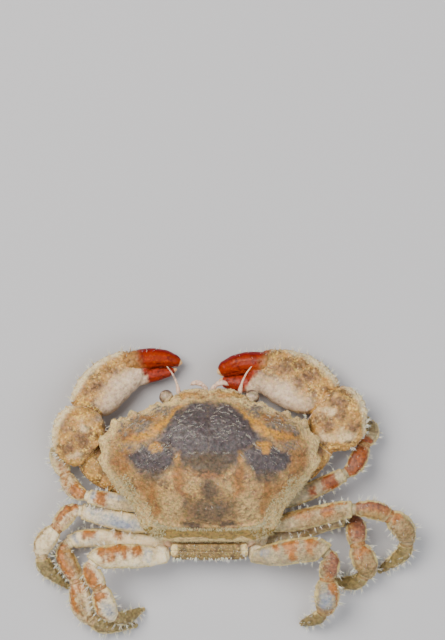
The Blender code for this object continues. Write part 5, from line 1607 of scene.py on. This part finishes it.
def tuftTree():
    # a few stiff hairs at each root, tapered, a little bent and splayed round the root's way
    tree, given, fields = newTree(
        "Tufts",
        {"Hairs": "Int", "Length": "Float", "Width": "Float", "Splay": "Float", "Bend": "Float",
         "Seed": "Int", "Material": "Material"},
        {"way": "FLOAT_VECTOR", "size": "FLOAT", "rootUv": "FLOAT_VECTOR", "along": "FLOAT"},
    )
    roots = addNode(
        tree, "GeometryNodeDuplicateElements", {"domain": "POINT"},
        {"Geometry": given["Geometry"], "Amount": given["Hairs"]},
    ).outputs["Geometry"]
    tip = addNode(tree, "ShaderNodeMath", {"operation": "MULTIPLY", 1: 0.12}, {0: given["Width"]})
    hair = addNode(
        tree, "GeometryNodeMeshCone", {"Vertices": 4, "Side Segments": 3, "Fill Segments": 1},
        {"Radius Top": tip.outputs[0], "Radius Bottom": given["Width"], "Depth": given["Length"]},
    ).outputs["Mesh"]
    position = addNode(tree, "GeometryNodeInputPosition").outputs[0]
    height = addNode(tree, "ShaderNodeSeparateXYZ", {}, {0: position}).outputs[2]
    share = addNode(
        tree, "ShaderNodeMath", {"operation": "DIVIDE"}, {0: height, 1: given["Length"]}
    ).outputs[0]
    sway = addNode(tree, "ShaderNodeMath", {"operation": "POWER", 1: 2.0}, {0: share}).outputs[0]
    for factor in ("Bend", "Length"):
        sway = addNode(
            tree, "ShaderNodeMath", {"operation": "MULTIPLY"}, {0: sway, 1: given[factor]}
        ).outputs[0]
    offset = addNode(tree, "ShaderNodeCombineXYZ", {}, {0: sway}).outputs[0]
    hair = addNode(
        tree, "GeometryNodeStoreNamedAttribute", {"data_type": "FLOAT", "domain": "POINT", "Name": "along"},
        {"Geometry": hair, "Value": share},
    ).outputs[0]
    bent = addNode(tree, "GeometryNodeSetPosition", {}, {"Geometry": hair, "Offset": offset}).outputs[0]
    # each hair leans away from the root's way by up to the splay on every axis, and turns about itself
    splay = {1: given["Splay"]}
    splay[0] = addNode(
        tree, "ShaderNodeMath", {"operation": "MULTIPLY", 1: -1.0}, {0: given["Splay"]}
    ).outputs[0]
    corners = {
        end: addNode(tree, "ShaderNodeCombineXYZ", {}, dict.fromkeys(range(3), splay[end])).outputs[0]
        for end in (0, 1)
    }
    jitter = addNode(
        tree, "FunctionNodeRandomValue", {"data_type": "FLOAT_VECTOR"}, {**corners, "Seed": given["Seed"]}
    ).outputs[0]
    aim = addNode(
        tree, "ShaderNodeVectorMath", {"operation": "ADD"}, {0: fields["way"], 1: jitter}
    ).outputs[0]
    aligned = addNode(tree, "FunctionNodeAlignRotationToVector", {"axis": "Z"}, {"Vector": aim}).outputs[0]
    spin = addNode(
        tree, "FunctionNodeRandomValue", {"data_type": "FLOAT", 2: 0.0, 3: math.tau, "Seed": 5}
    ).outputs[1]
    twist = addNode(tree, "ShaderNodeCombineXYZ", {}, {2: spin}).outputs[0]
    turned = addNode(
        tree, "FunctionNodeRotateRotation", {"rotation_space": "LOCAL"}, {0: aligned, 1: twist}
    ).outputs[0]
    vary = addNode(
        tree, "FunctionNodeRandomValue", {"data_type": "FLOAT", 2: 0.55, 3: 1.1, "Seed": 9}
    ).outputs[1]
    tall = addNode(
        tree, "ShaderNodeMath", {"operation": "MULTIPLY"}, {0: fields["size"], 1: vary}
    ).outputs[0]
    scale = addNode(tree, "ShaderNodeCombineXYZ", {0: 1.0, 1: 1.0}, {2: tall}).outputs[0]
    hairs = addNode(
        tree, "GeometryNodeInstanceOnPoints", {},
        {"Points": roots, "Instance": bent, "Rotation": turned, "Scale": scale},
    ).outputs[0]
    # a hair covers a small stretch of its UV map, so that its root and tip can differ
    patch = addNode(
        tree, "ShaderNodeMath", {"operation": "MULTIPLY", 1: 0.003}, {0: fields["along"]}
    ).outputs[0]
    corner = addNode(tree, "ShaderNodeCombineXYZ", {}, {0: patch, 1: patch}).outputs[0]
    spot = addNode(
        tree, "ShaderNodeVectorMath", {"operation": "ADD"}, {0: fields["rootUv"], 1: corner}
    ).outputs[0]
    return closeTree(tree, hairs, spot, given["Material"])


granules = {
    "shell": {"Spacing": 0.196 * mm, "Density": 14e6, "Size": 0.085 * mm, "Seed": 3},
    "claws": {"Spacing": 0.22 * mm, "Density": 9e6, "Size": 0.10 * mm, "Seed": 4},
}
beadTree = granuleTree()


def buildGranules(skin, name, values, material):
    base = skin.data.copy()
    if "rootUv" not in base.attributes:
        points = unplace(base)
        spread = (points - points.min(axis=0)) / (points.max(axis=0) - points.min(axis=0))
        turn = np.arctan2(spread[:, 1] - 0.5, spread[:, 0] - 0.5) / math.tau + 0.5
        setField(base, "rootUv", np.stack([turn, spread[:, 2], spread[:, 2] * 0.0], axis=1))
    piece = grown(base, beadTree, values, material)
    applied(piece)
    piece.name = piece.data.name = name
    return finished(piece, material)


buildGranules(shellPiece, "granules_shell", granules["shell"], skins["shell"])
for clawSkin in clawPieces:
    title, material = "granules_" + clawSkin.name.replace("_skin", ""), clawSkin.data.materials[0]
    buildGranules(clawSkin, title, granules["claws"], material)
print("granules strewn")

bristles = {
    "tuft": {"Hairs": 4, "Length": 0.92 * mm, "Width": 0.066 * mm, "Splay": 0.28, "Bend": 0.18, "Seed": 7},
    "down": {"Hairs": 2, "Length": 0.36 * mm, "Width": 0.028 * mm, "Splay": 0.45, "Bend": 0.3, "Seed": 8},
    "downStep": 0.22,  # share of the tufts' spacing
    "spread": {"tuft": 0.45, "down": 0.75},  # how far round the edge they stand
    "sprinkle": 2.2,  # short hairs on the upper side for each millimetre of length
    "wristHairs": 60,
    # rows along a limb's piece: side, first and last share, millimetres between tufts, and size
    "rows": {
        "merus": (("outer", 0.3, 0.97, 0.85, 0.8), ("inner", 0.3, 0.95, 0.95, 0.7)),
        "carpus": (("outer", 0.06, 0.96, 0.6, 1.0), ("inner", 0.3, 0.9, 1.0, 0.6)),
        "propodus": (("outer", 0.04, 0.96, 0.6, 1.0), ("inner", 0.1, 0.95, 0.7, 0.85)),
        "dactylus": (("outer", 0.05, 0.92, 0.5, 0.95), ("inner", 0.1, 0.92, 0.5, 0.85)),
        "arm": (("outer", 0.5, 0.97, 0.8, 0.8),),
        "palm": (("outer", 0.02, 1.0, 0.65, 0.95),),
        "finger": (("outer", 0.04, 0.55, 0.8, 0.75),),
    },
}
hairTree = tuftTree()


def tubeRoots(node, tube, tile, tiles):
    # tufts on the outer and inner edges of a limb's piece, with down between them
    limb, segment = node.rsplit("_", 1)
    turned = "right" in limb
    if "claw" in limb or "leg2" in limb:
        turned = not turned
    length = tubeLength(tube)
    roots = {"tuft": [], "down": []}
    for side, first, last, spacing, size in bristles["rows"][segment]:
        edge = math.pi if turned == (side == "outer") else 0.0
        for kind, step in (("tuft", spacing), ("down", spacing * bristles["downStep"])):
            count = max(2, round((last - first) * length / step))
            for i in range(count):
                share = mix(first, last, (i + dice.uniform(0.15, 0.85)) / count)
                angle = edge + dice.gauss(0.0, bristles["spread"][kind] * 0.6)
                point = tubePoints(tube, share, np.array([angle]))[0]
                centre, across, above = tubeFrame(tube, share)
                along = np.cross(above, across)
                way = unit(unit(point - centre) + along * dice.uniform(-0.1, 0.6) + up * 0.1)
                uv = vec((tile + share) / tiles, (angle / math.tau) % 1.0, 0.0)
                roots[kind].append((point - way * 0.08, way, size * dice.uniform(0.7, 1.15), uv))
    # a sprinkle of short hairs over the upper side
    for _ in range(round(length * bristles["sprinkle"])):
        share, angle = dice.uniform(0.05, 0.95), dice.uniform(0.1, 0.9) * math.pi
        if segment in ("propodus", "dactylus", "carpus"):
            point = tubePoints(tube, share, np.array([angle]))[0]
            centre, across, above = tubeFrame(tube, share)
            way = unit(unit(point - centre) + np.cross(above, across) * 0.8)
            uv = vec((tile + share) / tiles, (angle / math.tau) % 1.0, 0.0)
            roots["down"].append((point - way * 0.05, way, dice.uniform(0.5, 0.9), uv))
    return roots


def buildBristles(name, roots, values, material):
    meshes = []
    for kind, places in roots.items():
        if not places:
            continue
        mesh = bpy.data.meshes.new(name + kind)
        mesh.from_pydata(place([p[0] for p in places]).tolist(), [], [])
        setField(mesh, "way", np.array([p[1] for p in places]))
        setField(mesh, "size", np.array([p[2] for p in places]))
        setField(mesh, "rootUv", np.array([p[3] for p in places]))
        piece = grown(mesh, hairTree, values[kind], material)
        applied(piece)
        meshes.append(piece.data)
        bpy.data.objects.remove(piece)
    return finished(linked(name, joinMeshes(name, meshes)), material)


def limbBristles(limb, parts):
    roots = {"tuft": [], "down": []}
    for tile, part in enumerate(parts):
        grownRoots = tubeRoots(limb + "_" + part, limbTubes[limb + "_" + part], tile, len(parts))
        for kind in roots:
            roots[kind] += grownRoots[kind]
    return roots


for legName in legNames:
    legRoots = limbBristles(legName, segments)
    buildBristles("bristles_" + legName, legRoots, bristles, setae["whiteSetae"])


def wristRoots(spec):
    middle, half = vec(*spec["wristMiddle"]), vec(*spec["wristHalf"])
    outward = 0.0 if middle[0] > 0.0 else math.pi
    roots = []
    for i in range(bristles["wristHairs"]):
        angle = outward + (math.pi + dice.gauss(0.0, 0.3) if i % 7 == 0 else dice.uniform(-1.15, 1.15))
        spoke = vec(math.cos(angle), math.sin(angle), dice.uniform(-0.15, 0.3))
        point = middle + signedPower(unit(spoke), clawWork["wristPower"]) * half * 0.98
        way = unit(unit(spoke) + vec(0.0, 0.3, 0.1))
        size = dice.uniform(0.4, 0.8) * (0.5 if i % 3 else 1.0)
        roots.append((point, way, size, vec(angle / math.tau % 1.0, 0.98, 0.0)))
    return roots


for clawName, clawSpec in claws.items():
    clawRoots = limbBristles(clawName, ("arm", "palm", "finger"))
    clawRoots["tuft"] += wristRoots(clawSpec)
    buildBristles("bristles_" + clawName, clawRoots, bristles, setae["whiteSetae"])


fringe = {
    "soft": {"Hairs": 4, "Length": 0.5 * mm, "Width": 0.03 * mm, "Splay": 0.5, "Bend": 0.35, "Seed": 12},
    "comb": {"Hairs": 2, "Length": 0.21 * mm, "Width": 0.026 * mm, "Splay": 0.3, "Bend": 0.4, "Seed": 13},
    "flankHairs": 9, "ridgeHairs": 110,  # at each point of the hind flanks, and on each half of the ridge
}
shellTree = BVHTree.FromPolygons(
    [v.co.copy() for v in shellPiece.data.vertices], [tuple(p.vertices) for p in shellPiece.data.polygons]
)


def surfaceHeight(x, y):
    # the height of the shell's top at a place
    hit = shellTree.ray_cast(Vector(place([x, y, 30.0])), Vector((0.0, 0.0, -1.0)))[0]
    return (hit.z - shift[2]) / mm if hit else 5.0


def edgeFringe():
    # soft yellow pile on the hind flanks and the ridge, and down along the rest of the edge
    roots = []
    middle = vec(*shell["middle"])
    for point in outlineColumns()[0]:
        x, y = point
        out = unit(np.append(point - middle, 0.0))
        flank = float(smoothStep(2.2, -1.0, y)) * float(smoothStep(-7.4, -6.2, y))
        for _ in range(fringe["flankHairs"] if flank > 0.5 else 1):
            ring = 1.0 - 0.2 * dice.random() ** 1.5 if flank > 0.5 else dice.uniform(0.985, 1.0)
            flat = middle + (point - middle) * ring
            z = float(rimHeight(x, y))
            if ring < 1.0:
                z = float(shellTop(flat[:1], flat[1:], ring)[0])
            way = unit(out + up * dice.uniform(0.0, 0.7) + vec(dice.uniform(-0.4, 0.4), -0.35, 0.0) * flank)
            size = mix(0.45, 0.9, flank) * dice.uniform(0.5, 1.15)
            uv = vec((math.atan2(y - middle[1], x) / math.tau + 0.5) % 1.0, 0.5 * ring, 0.0)
            roots.append((np.append(flat, z - 0.05), way, size, uv))
    line = shell["ridge"][0]
    for turn in (-1.0, 1.0):
        for _ in range(fringe["ridgeHairs"]):
            share = dice.random()
            spot = share * (len(line) - 1)
            index = min(int(spot), len(line) - 2)
            x, y = (mix(a, b, spot - index) for a, b in zip(line[index], line[index + 1]))
            x, y = x * turn, y - dice.uniform(0.0, 0.25)
            way = unit(vec(0.12 * x * turn, -1.0, 0.35))
            root = vec(x, y, surfaceHeight(x, y) - 0.03)
            roots.append((root, way, dice.uniform(0.5, 0.9), vec(share, 0.45, 0.0)))
    return roots


combs = {
    # places of the brightest tufts of one side: middle, length of the row and slant
    "tufts": (
        (2.2, 5.55, 0.5, 0.0), (1.05, 8.1, 0.4, 0.3), (2.4, 7.8, 0.5, 0.3), (4.4, 4.95, 0.5, 0.6),
        (5.2, 3.95, 0.5, 0.5), (7.6, 3.5, 0.9, 0.7), (1.9, 3.1, 0.8, 0.0), (0.75, 3.1, 0.3, 0.0),
        (4.85, 1.45, 0.6, 0.8), (3.7, 2.7, 0.4, 0.8), (1.0, -0.5, 0.3, 1.4), (0.3, -3.1, 0.3, 1.3),
        (8.9, 2.9, 0.4, 0.6), (3.3, 6.6, 0.4, 0.2),
    ),
    # first and last row and their spacing, on the dark middle and across the wing
    "lobeRows": (4.3, 8.4, 0.34), "wingRows": (-1.5, 1.5, 0.32),
    "dashes": 26,  # short rows along the wing's front
    "step": 0.075,  # mm between hairs
}


def combRows():
    # short wavy combs of hair: crosswise on the dark middle, slanting on its wings, along the edge outside
    rows = []
    for turn in (-1.0, 1.0):
        rows += [(turn * x, y, length, slant * turn, 1.5) for x, y, length, slant in combs["tufts"]]
        for y in np.arange(*combs["lobeRows"]):
            x, limit = dice.uniform(0.15, 1.1), 4.9 - 0.16 * (y - combs["lobeRows"][0]) ** 2
            while x < limit:
                length = dice.uniform(0.25, 0.8)
                drop = 0.03 * x * x
                if dice.random() < 0.55:
                    slant = 0.1 * x * turn + dice.gauss(0.0, 0.2)
                    height = y - drop + dice.gauss(0.0, 0.12)
                    rows.append((turn * (x + length / 2), height, length, slant, 0.7))
                x += length + dice.uniform(0.1, 0.35)
        for away in np.arange(*combs["wingRows"]):
            along = -2.2
            while along < 2.2:
                length = dice.uniform(0.25, 0.7)
                x = shell["wing"][0] + along * 0.86 + away * 0.5
                y = shell["wing"][1] - along * 0.5 + away * 0.86
                if dice.random() < 0.6 and abs(away) + 0.5 * abs(along) < 1.9:
                    rows.append((turn * x, y, length, 0.5 * turn, 0.7))
                along += length + dice.uniform(0.15, 0.5)
        for _ in range(combs["dashes"]):
            x = dice.uniform(5.0, 9.8)
            y = 9.9 - 0.45 * x + dice.uniform(-0.2, 1.2)
            rows.append((turn * x, y, dice.uniform(0.3, 0.7), 0.45 * turn, 0.6))
    roots = []
    for x, y, length, slant, size in rows:
        phase = dice.uniform(0.0, math.tau)
        for along in np.arange(-length / 2, length / 2, combs["step"]):
            px = x + along * math.cos(slant)
            py = y - along * math.sin(slant) + 0.05 * math.sin(7.0 * along + phase)
            uv = vec((math.atan2(py - shell["middle"][1], px) / math.tau + 0.5) % 1.0, 0.25, 0.0)
            way = unit(vec(dice.uniform(-0.3, 0.3), 1.0, 0.7))
            root = vec(px, py, surfaceHeight(px, py) - 0.04)
            roots.append((root, way, size * dice.uniform(0.7, 1.2), uv))
    return roots


buildBristles("fringe_shell", {"soft": edgeFringe()}, fringe, setae["yellowSetae"])
buildBristles("combs_shell", {"comb": combRows()}, fringe, setae["greySetae"])


tailHair = {"tuft": bristles["tuft"], "soft": fringe["soft"], "tufts": 44, "pile": 110}


def tailRoots():
    roots = {"tuft": [], "soft": []}
    for _ in range(tailHair["tufts"]):
        x = dice.uniform(-4.1, 4.1)
        z = dice.uniform(3.5, 4.5)
        root = vec(x, -8.8 - 0.12 * (4.4 - z), z)
        way = unit(vec(0.05 * x, -1.0, dice.uniform(-0.1, 0.4)))
        roots["tuft"].append((root, way, dice.uniform(0.35, 0.75), vec((x + 4.4) / 9.0, z / 6.0, 0.0)))
    for _ in range(tailHair["pile"]):
        x, y = dice.uniform(-4.2, 4.2), dice.uniform(-8.5, -7.3)
        root = vec(x, y, mix(4.9, 4.5, (-7.3 - y) / 1.2))
        way = unit(vec(dice.uniform(-0.5, 0.5), -1.0, 0.6))
        roots["soft"].append((root, way, dice.uniform(0.3, 0.7), vec((x + 4.4) / 9.0, 0.9, 0.0)))
    return roots


buildBristles("bristles_tail", tailRoots(), tailHair, setae["whiteSetae"])
print("bristles grown")


studio = {
    "millimetresHigh": 72.7,  # what the picture shows from top to bottom
    "look": (1.5, 18.18, 5.0), "lens": 300.0, "sensor": 36.0,
    "floor": "#BEBFC2", "floorReach": 3.0,  # metres to each side
    # name, place in the drawing's mm, size in m, watts and colour
    "lights": (
        ("key", (-200.0, 170.0, 420.0), 0.34, 3.4, "#FFF8F0"),
        ("fill", (300.0, -40.0, 420.0), 0.6, 1.5, "#F6F8FF"),
        ("back", (40.0, -340.0, 300.0), 0.5, 0.9, "#FFFFFF"),
    ),
    "sky": "#DDE0E4", "skyStrength": 0.24,
}


def floorMaterial():
    # Matt coated paper sweep: rolled paper with a fine tooth, which gives soft shadows and no gloss
    material, tree = newMaterial("studioPaper")
    where = addNode(tree, "ShaderNodeTexCoord").outputs["Object"]
    tooth = addNode(
        tree, "ShaderNodeTexNoise", {"Scale": perMillimetre(0.6), "Detail": 3.0}, {"Vector": where}
    )
    bump = addNode(
        tree, "ShaderNodeBump", {"Strength": 0.08, "Distance": 0.0001}, {"Height": tooth.outputs["Fac"]}
    )
    shader = addNode(
        tree, "ShaderNodeBsdfPrincipled", {"Base Color": linearColour(studio["floor"]), "Roughness": 0.85},
        {"Normal": bump.outputs["Normal"]},
    )
    addNode(tree, "ShaderNodeOutputMaterial", {}, {"Surface": shader.outputs[0]})
    return material


def buildStudio():
    reach = studio["floorReach"]
    corners = [(x * reach, y * reach, 0.0) for x, y in ((-1, -1), (1, -1), (1, 1), (-1, 1))]
    mesh = bpy.data.meshes.new("floor")
    mesh.from_pydata(corners, [], [(0, 1, 2, 3)])
    mesh.materials.append(floorMaterial())
    linked("floor", mesh)
    target = place(vec(studio["look"][0], 0.0, 0.0))
    for name, spot, size, watts, tint in studio["lights"]:
        data = bpy.data.lights.new(name, "AREA")
        data.shape = "DISK"
        data.size = size
        data.energy = watts
        data.color = linearColour(tint)[:3]
        lamp = bpy.data.objects.new(name, data)
        lamp.location = place(spot)
        lamp.rotation_euler = Vector(target - place(spot)).to_track_quat("-Z", "Y").to_euler()
        bpy.context.scene.collection.objects.link(lamp)
    world = bpy.data.worlds.new("studioSky")
    world.use_nodes = True
    background = world.node_tree.nodes["Background"]
    background.inputs["Color"].default_value = linearColour(studio["sky"])
    background.inputs["Strength"].default_value = studio["skyStrength"]
    bpy.context.scene.world = world
    data = bpy.data.cameras.new("camera")
    data.sensor_fit = "VERTICAL"
    data.sensor_height = studio["sensor"]
    data.lens = studio["lens"]
    data.clip_start, data.clip_end = 0.01, 20.0
    camera = bpy.data.objects.new("camera", data)
    away = studio["millimetresHigh"] * studio["lens"] / studio["sensor"]
    camera.location = place(vec(*studio["look"]) + up * away)
    bpy.context.scene.collection.objects.link(camera)
    bpy.context.scene.camera = camera


buildStudio()
print("studio set")
